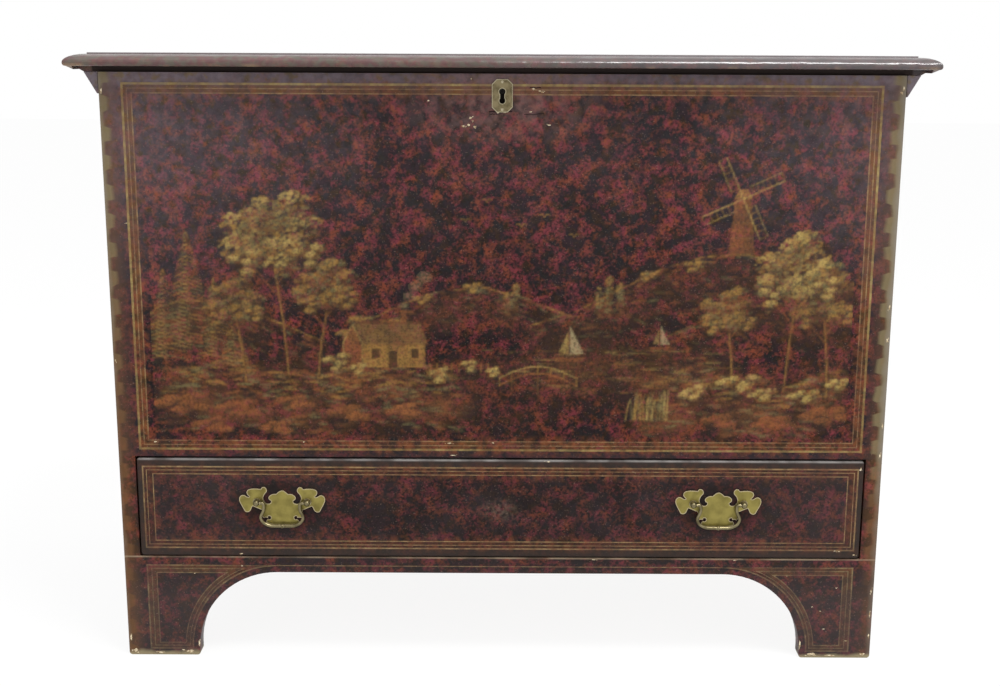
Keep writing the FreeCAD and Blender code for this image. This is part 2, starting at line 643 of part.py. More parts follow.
def hinge_leaf(side, base, first_knuckle, screw_direction):
    """One leaf, with every second knuckle along the pin starting from the given one."""
    low, high = hinge_span(side)
    pitch = (high - low + KNUCKLE_GAP) / KNUCKLE_COUNT
    pieces = [hinge_leaf_plate(side, base)]
    for i in range(first_knuckle, KNUCKLE_COUNT, 2):
        start = low + pitch * i
        width = pitch - KNUCKLE_GAP
        pieces.append(block((start, start + width), (BACK_Y, HINGE_Y), (base, base + HINGE_LEAF_THICKNESS)))
        pieces.append(rod(Vector(start, HINGE_Y, HINGE_Z), X_AXIS, width, KNUCKLE_RADIUS))
    bore = rod(Vector(low - OVERRUN, HINGE_Y, HINGE_Z), X_AXIS, HINGE_LENGTH + 2 * OVERRUN,
               HINGE_PIN_RADIUS + HINGE_PIN_CLEARANCE)
    face = base + HINGE_LEAF_THICKNESS if screw_direction.z < 0 else base
    heads = [head for head in hinge_screw_heads(face) if low < head.x < high]
    return without(joined(pieces), [bore] + screw_holes(heads, screw_direction))


def hinge_pin(side):
    low, high = hinge_span(side)
    return rod(Vector(low, HINGE_Y, HINGE_Z), X_AXIS, high - low, HINGE_PIN_RADIUS)


# Lock


def selvedge():
    plate = block((-HALF_SELVEDGE, HALF_SELVEDGE), (LOCK_OUTER_Y - SELVEDGE_LIP, PANEL_INNER_Y),
                  (SELVEDGE_BASE, CASE_HEIGHT))
    half_x = STAPLE_THICKNESS / 2 + STAPLE_CLEARANCE
    half_y = STAPLE_WIDTH / 2 + STAPLE_CLEARANCE
    slots = [block((x - half_x, x + half_x), (STAPLE_Y - half_y, STAPLE_Y + half_y),
                   (SELVEDGE_BASE - OVERRUN, CASE_HEIGHT + OVERRUN))
             for x in (-STAPLE_SPACING / 2, STAPLE_SPACING / 2)]
    return without(plate, slots + screw_holes(selvedge_screw_heads(), -Z_AXIS))


def lock_case():
    """Tray that opens towards the front, with the selvedge on top and ribs that carry the bolt."""
    depth = (LOCK_OUTER_Y + LOCK_CAP_THICKNESS, PANEL_INNER_Y)
    tray = block((-HALF_LOCK, HALF_LOCK), depth, (LOCK_BASE, SELVEDGE_BASE))
    half_room = HALF_LOCK - LOCK_WALL
    room = block((-half_room, half_room), (depth[0] - OVERRUN, PANEL_INNER_Y - LOCK_WALL),
                 (LOCK_BASE + LOCK_WALL, SELVEDGE_BASE))
    rib_top = BOLT_BASE - BOLT_CLEARANCE
    ribs = [block(span, (BOLT_FRONT_Y, PANEL_INNER_Y - LOCK_WALL), (rib_top - RIB_HEIGHT, rib_top))
            for span in ((-half_room, RIB_LENGTH - half_room), (half_room - 2 * RIB_LENGTH, half_room))]
    return joined([tray.cut(room), selvedge()] + ribs)


def lock_cap():
    plate = block((-HALF_LOCK, HALF_LOCK), (LOCK_OUTER_Y, LOCK_OUTER_Y + LOCK_CAP_THICKNESS),
                  (LOCK_BASE, SELVEDGE_BASE))
    return plate.cut(keyhole(KEYHOLE_RELIEF))


def lock_key_pin():
    """Peg on the lock's back plate that a hollow key turns on."""
    front = LOCK_OUTER_Y + LOCK_CAP_THICKNESS + KEY_PIN_SETBACK
    back = PANEL_INNER_Y - LOCK_WALL
    return rod(Vector(0, front, KEYHOLE_Z), Y_AXIS, back - front, KEY_PIN_RADIUS)


def lock_bolt():
    """Sliding bar with two fingers, drawn back clear of the staples."""
    pieces = []
    for x in (-STAPLE_SPACING / 2, STAPLE_SPACING / 2):
        height = (FINGER_BASE, FINGER_TOP)
        stud = (x - STUD_REACH, x - STUD_REACH + BOLT_STUD)
        pieces.append(block(stud, (STAPLE_Y - FINGER_HALF_WIDTH, BOLT_FRONT_Y), height))
        pieces.append(block((stud[1], x - FINGER_REACH),
                            (STAPLE_Y - FINGER_HALF_WIDTH, STAPLE_Y + FINGER_HALF_WIDTH), height))
    left = -STAPLE_SPACING / 2 - STUD_REACH
    right = STAPLE_SPACING / 2 - STUD_REACH + BOLT_STUD + BOLT_TAIL
    bar = block((left, right), (BOLT_FRONT_Y, BOLT_BACK_Y), (BOLT_BASE, FINGER_TOP))
    talon = rod(Vector(-BOLT_TRAVEL / 2, BOLT_FRONT_Y - OVERRUN, BOLT_BASE), Y_AXIS,
                BOLT_THICKNESS + 2 * OVERRUN, TALON_RADIUS)
    return joined([bar.cut(talon)] + pieces)


def link_plate_blank():
    return block((-HALF_LINK, HALF_LINK), (STAPLE_Y - LINK_WIDTH / 2, STAPLE_Y + LINK_WIDTH / 2),
                 (LID_BASE, LID_BASE + LINK_THICKNESS))


def lock_link_plate():
    """Plate in the underside of the lid with the two staples that drop into the lock."""
    pieces = [link_plate_blank()]
    for x in (-STAPLE_SPACING / 2, STAPLE_SPACING / 2):
        thickness = (x - STAPLE_THICKNESS / 2, x + STAPLE_THICKNESS / 2)
        staple = block(thickness, (STAPLE_Y - STAPLE_WIDTH / 2, STAPLE_Y + STAPLE_WIDTH / 2),
                       (STAPLE_BASE, LID_BASE))
        hole = block((thickness[0] - OVERRUN, thickness[1] + OVERRUN),
                     (STAPLE_Y - STAPLE_HOLE_WIDTH / 2, STAPLE_Y + STAPLE_HOLE_WIDTH / 2),
                     (STAPLE_HOLE_BASE, STAPLE_HOLE_BASE + STAPLE_HOLE_HEIGHT))
        pieces.append(staple.cut(hole))
    return without(joined(pieces), screw_holes(link_screw_heads(), Z_AXIS))


def escutcheon_pin(head, clearance):
    """Round-headed pin, whose head stands on the face of the plate."""
    shank = rod(head, Y_AXIS, ESCUTCHEON_PIN_LENGTH + clearance, ESCUTCHEON_PIN_RADIUS + clearance)
    cap = rod(head - Y_AXIS * ESCUTCHEON_PIN_HEAD, Y_AXIS, ESCUTCHEON_PIN_HEAD,
              ESCUTCHEON_PIN_HEAD_RADIUS)
    return joined([shank, cap])


def keyhole_escutcheon():
    """Long eight-sided plate."""
    top = CASE_HEIGHT - ESCUTCHEON_DROP
    base = top - ESCUTCHEON_HEIGHT
    half = ESCUTCHEON_WIDTH / 2
    short = half - ESCUTCHEON_CORNER
    corners = [(short, base), (half, base + ESCUTCHEON_CORNER), (half, top - ESCUTCHEON_CORNER),
               (short, top), (-short, top), (-half, top - ESCUTCHEON_CORNER),
               (-half, base + ESCUTCHEON_CORNER), (-short, base)]
    outline = [Vector(x, FRONT_Y - ESCUTCHEON_THICKNESS, z) for x, z in corners]
    plate = prism(outline, Y_AXIS * ESCUTCHEON_THICKNESS)
    pins = [escutcheon_pin(head, POST_CLEARANCE) for head in escutcheon_pin_heads()]
    return without(plate, [keyhole(0)] + pins)


# Drawer


def dovetails(low, high, shoulder, end):
    """Tails of a drawer side that widen from their shoulder to their end, in the right side's thickness."""
    pitch = (high - low) / DOVETAIL_COUNT
    narrow = pitch * DOVETAIL_WIDTH_SHARE / 2
    wide = narrow + abs(end - shoulder) * DOVETAIL_SLOPE_SHARE
    x = HALF_DRAWER - DRAWER_SIDE_THICKNESS
    tails = []
    for z in spaced(low, high, DOVETAIL_COUNT):
        outline = [Vector(x, shoulder, z - narrow), Vector(x, end, z - wide),
                   Vector(x, end, z + wide), Vector(x, shoulder, z + narrow)]
        tails.append(prism(outline, X_AXIS * DRAWER_SIDE_THICKNESS))
    return tails


def front_tails():
    return dovetails(DRAWER_BASE, DRAWER_SIDE_TOP, DRAWER_INNER_Y, FRONT_Y + DRAWER_LAP)


def back_tails():
    return dovetails(DRAWER_FLOOR, DRAWER_SIDE_TOP, DRAWER_BACK_Y - DRAWER_BACK_THICKNESS, DRAWER_BACK_Y)


def drawer_bottom():
    half = HALF_DRAWER - DRAWER_SIDE_THICKNESS + DRAWER_GROOVE
    return block((-half, half), (DRAWER_INNER_Y - DRAWER_GROOVE, DRAWER_BACK_Y),
                 (DRAWER_BASE + DRAWER_BOTTOM_LIFT, DRAWER_FLOOR))


def drawer_right_side():
    thickness = (HALF_DRAWER - DRAWER_SIDE_THICKNESS, HALF_DRAWER)
    shoulder = DRAWER_BACK_Y - DRAWER_BACK_THICKNESS
    board = block(thickness, (DRAWER_INNER_Y, shoulder), (DRAWER_BASE, DRAWER_SIDE_TOP))
    heel = block(thickness, (shoulder, DRAWER_BACK_Y), (DRAWER_BASE, DRAWER_FLOOR))
    return joined([board, heel] + front_tails() + back_tails()).cut(drawer_bottom())


def drawer_front():
    board = block((-HALF_DRAWER, HALF_DRAWER), (FRONT_Y, DRAWER_INNER_Y), (DRAWER_BASE, DRAWER_TOP))
    corners = [edge for edge in board.Edges if abs(edge.tangentAt(edge.FirstParameter).y) > 0]
    board = board.makeFillet(DRAWER_CORNER_ROUND, corners)
    face_edges = [edge for edge in board.Edges
                  if all(abs(vertex.Y - FRONT_Y) < DRAWER_EDGE_ROUND for vertex in edge.Vertexes)]
    board = board.makeFillet(DRAWER_EDGE_ROUND, face_edges)
    tails = front_tails()
    sockets = tails + [flipped(tail) for tail in tails]
    holes = [rod(place - Y_AXIS * OVERRUN, Y_AXIS, DRAWER_FRONT_THICKNESS + 2 * OVERRUN,
                 POST_SHANK_RADIUS + POST_CLEARANCE)
             for side in (-1, 1) for place in post_places(side)]
    return without(board, sockets + holes + [drawer_bottom()])


def drawer_back():
    board = block((-HALF_DRAWER, HALF_DRAWER), (DRAWER_BACK_Y - DRAWER_BACK_THICKNESS, DRAWER_BACK_Y),
                  (DRAWER_FLOOR, DRAWER_SIDE_TOP))
    tails = back_tails()
    return without(board, tails + [flipped(tail) for tail in tails])


# Handles


def plate_outline(place):
    """Closed wire of the pierced plate: the curves of its right half and their mirror images."""
    edges = []
    for curve in PLATE_OUTLINE_SHARES:
        for side in (-1, 1):
            points = [place(side * x * PLATE_WIDTH / 2, z * PLATE_HEIGHT) for x, z in curve]
            spline = Part.BSplineCurve()
            spline.interpolate(points)
            edges.append(spline.toShape())
    return Part.Wire(Part.__sortEdges__(edges))


def handle_plate(side):
    middle = side * HANDLE_X
    outline = plate_outline(lambda x, z: Vector(middle + x, FRONT_Y - PLATE_THICKNESS, HANDLE_Z + z))
    plate = Part.Face(outline).extrude(Y_AXIS * PLATE_THICKNESS)
    holes = [rod(place - Y_AXIS * (PLATE_THICKNESS + OVERRUN), Y_AXIS, PLATE_THICKNESS + 2 * OVERRUN,
                 POST_SHANK_RADIUS + POST_CLEARANCE) for place in post_places(side)]
    return without(plate, holes)


def handle_post(face):
    """Round-headed post turned in one piece; face is where it meets the front of the plate."""
    head_y = -POST_STANDOFF
    neck_y = head_y + math.sqrt(POST_HEAD_RADIUS ** 2 - POST_NECK_RADIUS ** 2)
    end_y = PLATE_THICKNESS + DRAWER_FRONT_THICKNESS + NUT_THICKNESS + POST_TAIL

    def at(radius, y):
        return face + Vector(radius, y, 0)

    tip = at(0, head_y - POST_HEAD_RADIUS)
    outline = [at(POST_NECK_RADIUS, neck_y), at(POST_NECK_RADIUS, -POST_COLLAR_THICKNESS),
               at(POST_COLLAR_RADIUS, -POST_COLLAR_THICKNESS), at(POST_COLLAR_RADIUS, 0),
               at(POST_SHANK_RADIUS, 0), at(POST_SHANK_RADIUS, end_y), at(0, end_y), tip]
    edges = [Part.makeLine(a, b) for a, b in zip(outline, outline[1:])]
    edges.append(Part.Arc(tip, at(POST_HEAD_RADIUS, head_y), outline[0]).toShape())
    return Part.Face(Part.Wire(Part.__sortEdges__(edges))).revolve(face, Y_AXIS, 360)


def handle_posts(side):
    """Posts through the plate and the drawer front, bored for the ends of the bail."""
    posts = []
    middle = side * HANDLE_X
    for place in post_places(side):
        face = place - Y_AXIS * PLATE_THICKNESS
        inward = X_AXIS if place.x < middle else -X_AXIS
        mouth = face - Y_AXIS * POST_STANDOFF + inward * (POST_HEAD_RADIUS + OVERRUN)
        socket = rod(mouth, -inward, BAIL_PIVOT_DEPTH + OVERRUN, BAIL_PIVOT_RADIUS + BAIL_PIVOT_CLEARANCE)
        posts.append(handle_post(face).cut(socket))
    return posts


def handle_nuts(side):
    """Square nuts on the posts, inside the drawer."""
    half = NUT_WIDTH / 2
    nuts = []
    for place in post_places(side):
        nut = block((place.x - half, place.x + half), (DRAWER_INNER_Y, DRAWER_INNER_Y + NUT_THICKNESS),
                    (place.z - half, place.z + half))
        bore = rod(place, Y_AXIS, DRAWER_FRONT_THICKNESS + NUT_THICKNESS + OVERRUN,
                   POST_SHANK_RADIUS + POST_CLEARANCE)
        nuts.append(nut.cut(bore))
    return nuts


def bent_rod(points, radius):
    """Round rod of straight runs joined by tangent bends, each as large as its two runs allow."""
    lengths = []
    start = points[0]
    for before, corner, after in zip(points, points[1:], points[2:]):
        into = (before - corner).normalize()
        out = (after - corner).normalize()
        reach = BEND_SHARE * min((before - corner).Length, (after - corner).Length)
        half_angle = into.getAngle(out) / 2
        first = corner + into * reach
        centre = corner + (into + out).normalize() * (reach / math.cos(half_angle))
        turn = math.pi - 2 * half_angle
        ring = Part.Face(Part.Wire(Part.makeCircle(radius, first, into)))
        lengths.append(rod(start, first - start, (first - start).Length, radius))
        lengths.append(ring.revolve(centre, out.cross(into), math.degrees(turn)))
        start = corner + out * reach
    lengths.append(rod(start, points[-1] - start, (points[-1] - start).Length, radius))
    return lengths


def handle_bail(side):
    """Swan-neck bail that hangs from the posts, with a bead at the middle of its grip."""
    middle = Vector(side * HANDLE_X, POST_HEAD_Y, HANDLE_Z)
    end_x = POST_SPACING / 2 - POST_HEAD_RADIUS - BAIL_SETOFF
    neck_x = end_x - BAIL_NECK_INSET
    right_half = [(end_x, 0), (neck_x, 0), (neck_x - BAIL_PINCH, -BAIL_PINCH_SHARE * BAIL_DROP),
                  (neck_x + BAIL_BOW, -BAIL_BOW_SHARE * BAIL_DROP),
                  (neck_x + BAIL_HEEL, -BAIL_HEEL_SHARE * BAIL_DROP),
                  (neck_x - BAIL_CORNER_INSET, -BAIL_DROP)]
    left_half = [(-x, z) for x, z in reversed(right_half)]
    grip = bent_rod([middle + Vector(x, 0, z) for x, z in right_half + left_half], BAIL_RADIUS)
    pivots = [rod(middle + X_AXIS * (end * end_x), X_AXIS * end, BAIL_PIVOT_DEPTH, BAIL_PIVOT_RADIUS)
              for end in (-1, 1)]
    bead = Part.makeSphere(BAIL_BEAD_RADIUS, middle - Z_AXIS * BAIL_DROP, X_AXIS)
    return joined(grip + pivots + [bead])


# Output


def write(name, *shapes):
    """One file for a piece, or for a group of like pieces."""
    solids = [solid for shape in shapes for solid in shape.Solids]
    whole = solids[0] if len(solids) == 1 else Part.makeCompound(solids)
    if not whole.isValid():
        print("not valid:", name)
    whole.exportStep(os.path.join("parts", name + ".step"))
    print(name, len(solids), round(whole.Volume))


def write_pair(name, right):
    """A piece made for the right end of the chest, and its mirror image for the left."""
    write(name.format("right"), right)
    write(name.format("left"), flipped(right))


def write_case():
    write_pair("{}_side", right_side())
    write("front_panel", front_panel())
    write("front_apron", front_apron())
    write("chest_bottom", chest_bottom())
    for place, (low, high) in zip(("bottom", "middle", "top"), back_board_spans()):
        write("back_board_" + place, back_board(low, high))
    write_pair("{}_drawer_runner", right_runner())
    write("drawer_stops", right_drawer_stop(), flipped(right_drawer_stop()))
    write("corner_blocks", right_corner_block(), flipped(right_corner_block()))
    write("front_nails", *[nail(head, Y_AXIS, NAIL_LENGTH) for head in front_nail_heads()])
    write("back_nails", *[nail(head, -Y_AXIS, NAIL_LENGTH) for head in back_nail_heads()])
    runner_nails = [nail(head, X_AXIS, RUNNER_NAIL_LENGTH) for head in runner_nail_heads()]
    write("runner_nails", *(runner_nails + [flipped(shape) for shape in runner_nails]))


def write_hinges():
    case_base = CASE_HEIGHT - HINGE_LEAF_THICKNESS
    for side, name in ((-1, "left"), (1, "right")):
        write(name + "_hinge_case_leaf", hinge_leaf(side, case_base, 0, -Z_AXIS))
        write(name + "_hinge_lid_leaf", hinge_leaf(side, LID_BASE, 1, Z_AXIS))
        write(name + "_hinge_pin", hinge_pin(side))
    write("hinge_case_screws", *[screw(head, -Z_AXIS) for head in hinge_screw_heads(CASE_HEIGHT)])
    write("hinge_lid_screws", *[screw(head, Z_AXIS) for head in hinge_screw_heads(LID_BASE)])


def write_lid():
    write("lid_board", lid_board())
    write_pair("{}_lid_batten", right_batten())


def write_lock():
    write("lock_case", lock_case())
    write("lock_cap", lock_cap())
    write("lock_key_pin", lock_key_pin())
    write("lock_bolt", lock_bolt())
    write("lock_screws", *[screw(head, -Z_AXIS) for head in selvedge_screw_heads()])
    write("lock_link_plate", lock_link_plate())
    write("link_plate_screws", *[screw(head, Z_AXIS) for head in link_screw_heads()])
    write("keyhole_escutcheon", keyhole_escutcheon())
    write("escutcheon_pins", *[escutcheon_pin(head, 0) for head in escutcheon_pin_heads()])


def write_drawer():
    right = drawer_right_side()
    write("drawer_right_side", right)
    write("drawer_left_side", flipped(right))
    write("drawer_front", drawer_front())
    write("drawer_back", drawer_back())
    write("drawer_bottom", drawer_bottom())
    for side, name in ((-1, "left"), (1, "right")):
        write(name + "_handle_plate", handle_plate(side))
        write(name + "_handle_posts", *handle_posts(side))
        write(name + "_handle_nuts", *handle_nuts(side))
        write(name + "_handle_bail", handle_bail(side))


os.makedirs("parts", exist_ok=True)
write_case()
write_hinges()
write_lid()
write_lock()
write_drawer()
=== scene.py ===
# %% [markdown]
# # A japanned blanket chest
#
# The chest is a pine box with a moulded lid, one long drawer and bracket feet. Its front is
# painted in imitation of tortoiseshell, lined with gold and decorated with a gilt landscape.
# The shapes come from the CAD model. This lesson adds what paint, varnish, brass and a
# century of wear give the eye.

import math
import random

import bmesh
import bpy
import numpy as np
from mathutils import Matrix, Vector


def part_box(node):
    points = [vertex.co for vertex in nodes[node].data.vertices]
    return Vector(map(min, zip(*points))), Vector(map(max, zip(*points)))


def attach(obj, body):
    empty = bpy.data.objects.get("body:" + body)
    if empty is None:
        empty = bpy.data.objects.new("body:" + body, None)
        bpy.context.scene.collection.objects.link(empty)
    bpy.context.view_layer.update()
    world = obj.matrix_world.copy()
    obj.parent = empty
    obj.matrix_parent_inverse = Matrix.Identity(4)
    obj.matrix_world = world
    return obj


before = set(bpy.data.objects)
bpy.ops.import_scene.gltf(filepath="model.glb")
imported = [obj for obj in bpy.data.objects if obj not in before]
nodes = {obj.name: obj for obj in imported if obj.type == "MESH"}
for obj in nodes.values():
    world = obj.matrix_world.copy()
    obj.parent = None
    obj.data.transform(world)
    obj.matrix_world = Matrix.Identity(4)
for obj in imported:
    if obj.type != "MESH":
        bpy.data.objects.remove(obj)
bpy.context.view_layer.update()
MM = 0.001

# %% [markdown]
# ## Where the pieces are
#
# Later steps paint and line the front, so they need the front's own places. They are read
# from the CAD nodes, in millimetres, which keeps the decoration on the boards if a size changes.

# %% Measure the front
def box_mm(name):
    """Low and high corner of a CAD node in millimetres."""
    low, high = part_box(name)
    return Vector(low) / MM, Vector(high) / MM


panel_low, panel_high = box_mm("front_panel")
_, apron_high = box_mm("front_apron")
drawer_low, drawer_high = box_mm("drawer_front")
HALF_CASE = panel_high.x
FRONT = panel_low.y
print("front face", round(FRONT, 2), "half width", round(HALF_CASE, 2),
      "panel", round(panel_low.z, 1), "to", round(panel_high.z, 1))

# %% [markdown]
# ## Camera, floor and light
#
# The upright edges of the case lean together towards the floor, so the camera stood level with
# the lid and looked down a little. It could be placed by eye, but its height, distance and lens
# were worked out from those edges, so that the picture lies over the photograph. The floor is a
# plain sheet of pale paper, and large soft lamps keep the light even, with one like a window for
# the gleam on the lid.

# %% Camera at the photograph's angle
IMAGE_WIDTH_PX = 1000
FOCAL_PX = 1362
SENSOR_MM = 36
camera_data = bpy.data.cameras.new("photo_camera")
camera_data.sensor_width = SENSOR_MM
camera_data.lens = SENSOR_MM * FOCAL_PX / IMAGE_WIDTH_PX
camera = bpy.data.objects.new("photo_camera", camera_data)
bpy.context.collection.objects.link(camera)
CAMERA_SIDE_MM = -1.3
CAMERA_DISTANCE_MM = 1645.5
CAMERA_HEIGHT_MM = 766
CAMERA_TILT = math.radians(12.02)
CAMERA_ROLL = math.radians(0.28)
camera.matrix_world = (
    Matrix.Translation(Vector((CAMERA_SIDE_MM, FRONT - CAMERA_DISTANCE_MM, CAMERA_HEIGHT_MM)) * MM)
    @ Matrix.Rotation(math.pi / 2 - CAMERA_TILT, 4, "X")
    @ Matrix.Rotation(CAMERA_ROLL, 4, "Z"))
bpy.context.scene.camera = camera
bpy.context.scene.view_settings.view_transform = "Standard"
print("lens", round(camera_data.lens, 2), "mm")

# %% [markdown]
# ## Colours and shader nodes
#
# Colours are judged as sRGB hex codes, but Blender's sockets hold linear light, so one function
# turns a code into what a socket needs. A material is a tree of nodes. It could be drawn by hand in
# the shader editor, but a small function that adds one node with its links lets each finish below
# read like a recipe.

# %% Colours and shader nodes
def linear(code):
    """An sRGB hex colour as the linear values that Blender's sockets hold."""
    parts = [int(code[i:i + 2], 16) / 255 for i in (1, 3, 5)]
    return tuple(c / 12.92 if c <= 0.04045 else ((c + 0.055) / 1.055) ** 2.4 for c in parts) + (1.0,)


def node(tree, kind, inputs=(), out=0, **settings):
    """Adds a shader node with its settings, links or sets its inputs, and gives one output or all."""
    made = tree.nodes.new("ShaderNode" + kind)
    for key, value in settings.items():
        setattr(made, key, value)
    for key, value in inputs.items() if isinstance(inputs, dict) else enumerate(inputs):
        if isinstance(value, bpy.types.NodeSocket):
            tree.links.new(value, made.inputs[key])
        else:
            made.inputs[key].default_value = value
    return made.outputs if out is None else made.outputs[out]


def new_material(name):
    """An empty node material, with its node tree."""
    material = bpy.data.materials.new(name)
    material.use_nodes = True
    material.node_tree.nodes.clear()
    return material, material.node_tree


print("middle grey as linear light", round(linear("#808080")[0], 3))


# %% Paper floor
PAPER_GLOW = 0.9
FLOOR_HALF_M = 14
FLOOR_CORNERS = ((-1, -1), (1, -1), (1, 1), (-1, 1))


def seen_rays(tree):
    """1 for rays from the camera and rays that metal or glass sends on, to which the backdrop is white."""
    path = node(tree, "LightPath", out=None)
    shiny = node(tree, "Math", [path["Is Glossy Ray"], path["Is Transmission Ray"]], operation="MAXIMUM")
    return node(tree, "Math", [path["Is Camera Ray"], shiny], operation="MAXIMUM")


# Matt paper: no gleam, so only the soft shadow under the chest shows on it.
floor_material, tree = new_material("matt_paper")
paper = node(tree, "BsdfPrincipled", {"Base Color": linear("#fdfdfd"), "Roughness": 0.9,
                                      "Specular IOR Level": 0.1})
glow = node(tree, "Emission", {"Color": linear("#ffffff"), "Strength": 1.0})
share = node(tree, "Math", [seen_rays(tree), PAPER_GLOW], operation="MULTIPLY")
node(tree, "OutputMaterial", {"Surface": node(tree, "MixShader", [share, paper, glow])}, None)
floor_mesh = bpy.data.meshes.new("paper_floor")
floor_points = [(x * FLOOR_HALF_M, y * FLOOR_HALF_M, 0) for x, y in FLOOR_CORNERS]
floor_mesh.from_pydata(floor_points, [], [(0, 1, 2, 3)])
floor = bpy.data.objects.new("paper_floor", floor_mesh)
bpy.context.collection.objects.link(floor)
floor_mesh.materials.append(floor_material)
print("floor", 2 * FLOOR_HALF_M, "m wide")

# %% Soft lamps in a white room
world = bpy.data.worlds.new("studio")
bpy.context.scene.world = world
world.use_nodes = True
tree = world.node_tree
tree.nodes.clear()
room = node(tree, "Background", {"Color": linear("#ffffff"), "Strength": 0.85})
backdrop = node(tree, "Background", {"Color": linear("#ffffff"), "Strength": 1.0})
node(tree, "OutputWorld", {"Surface": node(tree, "MixShader", [seen_rays(tree), room, backdrop])}, None)

LAMPS = (  # name, place in metres, aim in metres, width and height in metres, watts
    ("key_softbox", (-1.9, -2.6, 2.5), (0, -0.2, 0.4), (2.2, 1.6), 10),
    ("fill_softbox", (2.2, -2.4, 1.7), (0, -0.2, 0.4), (1.8, 1.8), 8),
    ("top_softbox", (0, -0.4, 3.2), (0, 0, 0.5), (3.0, 2.0), 18),
    ("window_light", (0.72, -1.05, 2.75), (0.27, -0.25, 0.75), (1.05, 0.6), 52),
)
for name, place, aim, size, watts in LAMPS:
    lamp_data = bpy.data.lights.new(name, "AREA")
    lamp_data.shape = "RECTANGLE"
    lamp_data.size, lamp_data.size_y = size
    lamp_data.energy = watts
    lamp = bpy.data.objects.new(name, lamp_data)
    bpy.context.collection.objects.link(lamp)
    towards = Vector(aim) - Vector(place)
    lamp.matrix_world = Matrix.Translation(place) @ towards.to_track_quat("-Z", "Y").to_matrix().to_4x4()
print("lamps", len(LAMPS))

# %% [markdown]
# ## Tortoiseshell japanning
#
# Japanners dabbed red over a black ground with a sponge and sealed it under many coats of
# varnish. An image could be wrapped around each board, but it would repeat and show its seams.
# Here a slow noise says where the red lies thick, and quicker ones the size of the sponge's lobes
# and pores break it into spots. Every board reads the same pattern by its place on the chest, so
# gilding and worn patches can repeat the ground under them and fade into it.

# %% Sponged red over black
CLUSTER_MM = 20.0
SPOT_MM = 8.0
PORE_MM = 3.2  # real pores are about a millimetre, which is too fine to show here
HUE_MM = 13.0
GROUND_SLATE = linear("#171819")
GROUND_PLUM = linear("#24171c")
GROUND_BROWN = linear("#2b1c0f")
SPONGED_CRIMSON = linear("#782f37")
SPONGED_BRICK = linear("#793a25")
VARNISH_BROWN = linear("#120b09")
BROWNED_X = (110, 430)  # from the middle of the front, where the varnish is brownest, to its ends
BROWNED_Z = (700, 520)  # from under the lid, where it is clearest, to the middle of the panel


def place_mm(tree):
    """A point's place on the chest in millimetres, as a vector and as its three parts."""
    place = node(tree, "TexCoord", out="Object")
    mm = node(tree, "VectorMath", [place, (1 / MM,) * 3], operation="MULTIPLY")
    return mm, node(tree, "SeparateXYZ", [mm], None)


def sponged(tree, mm, axis, depth):
    """Red spots over the dark ground; depth is how brown the varnish has gone over them."""
    # A noise shows its grid on a board that lies along it, so the pattern is turned askew.
    askew = node(tree, "VectorRotate", {"Vector": mm, "Axis": (1, 0.7, 0.4), "Angle": 0.8})
    cluster = node(tree, "TexNoise", {"Vector": askew, "Scale": 1 / CLUSTER_MM, "Detail": 1})
    spots = node(tree, "TexNoise", {"Vector": askew, "Scale": 1 / SPOT_MM, "Detail": 1})
    pores = node(tree, "TexNoise", {"Vector": askew, "Scale": 1 / PORE_MM, "Detail": 1})
    hue = node(tree, "TexNoise", {"Vector": askew, "Scale": 1 / HUE_MM, "Detail": 2}, "Color")
    tint = node(tree, "SeparateXYZ", [hue], None)
    lobes = node(tree, "Math", [spots, 0.75, cluster], operation="MULTIPLY_ADD")
    thick = node(tree, "Math", [pores, 0.4, lobes], operation="MULTIPLY_ADD")
    red = node(tree, "MapRange", [thick, 0.985, 1.39, 0.0, 0.88])
    to_plum = node(tree, "MapRange", [tint[0], 0.42, 0.58, 0, 1])
    to_brown = node(tree, "MapRange", [tint[1], 0.5, 0.62, 0, 1])
    to_brick = node(tree, "MapRange", [tint[2], 0.42, 0.58, 0, 1])
    dark = node(tree, "Mix", {0: to_plum, 6: GROUND_SLATE, 7: GROUND_PLUM}, 2, data_type="RGBA")
    dark = node(tree, "Mix", {0: to_brown, 6: dark, 7: GROUND_BROWN}, 2, data_type="RGBA")
    paint = node(tree, "Mix", {0: to_brick, 6: SPONGED_CRIMSON, 7: SPONGED_BRICK}, 2, data_type="RGBA")
    ground = node(tree, "Mix", {0: red, 6: dark, 7: paint}, 2, data_type="RGBA")
    across = node(tree, "Math", [axis[0]], operation="ABSOLUTE")
    middle = node(tree, "MapRange", [across, *BROWNED_X, 0.24, 0.06])
    below = node(tree, "MapRange", [axis[2], *BROWNED_Z, 0.2, 1.0])
    sunk = node(tree, "MapRange", [pores, 0.52, 0.28, depth, 0.6 + depth])
    brown = node(tree, "Math", [middle, below, sunk], operation="MULTIPLY_ADD")
    return node(tree, "Mix", {0: brown, 6: ground, 7: VARNISH_BROWN}, 2, data_type="RGBA")


print("sponged clusters, spots and pores", CLUSTER_MM, SPOT_MM, PORE_MM, "mm")
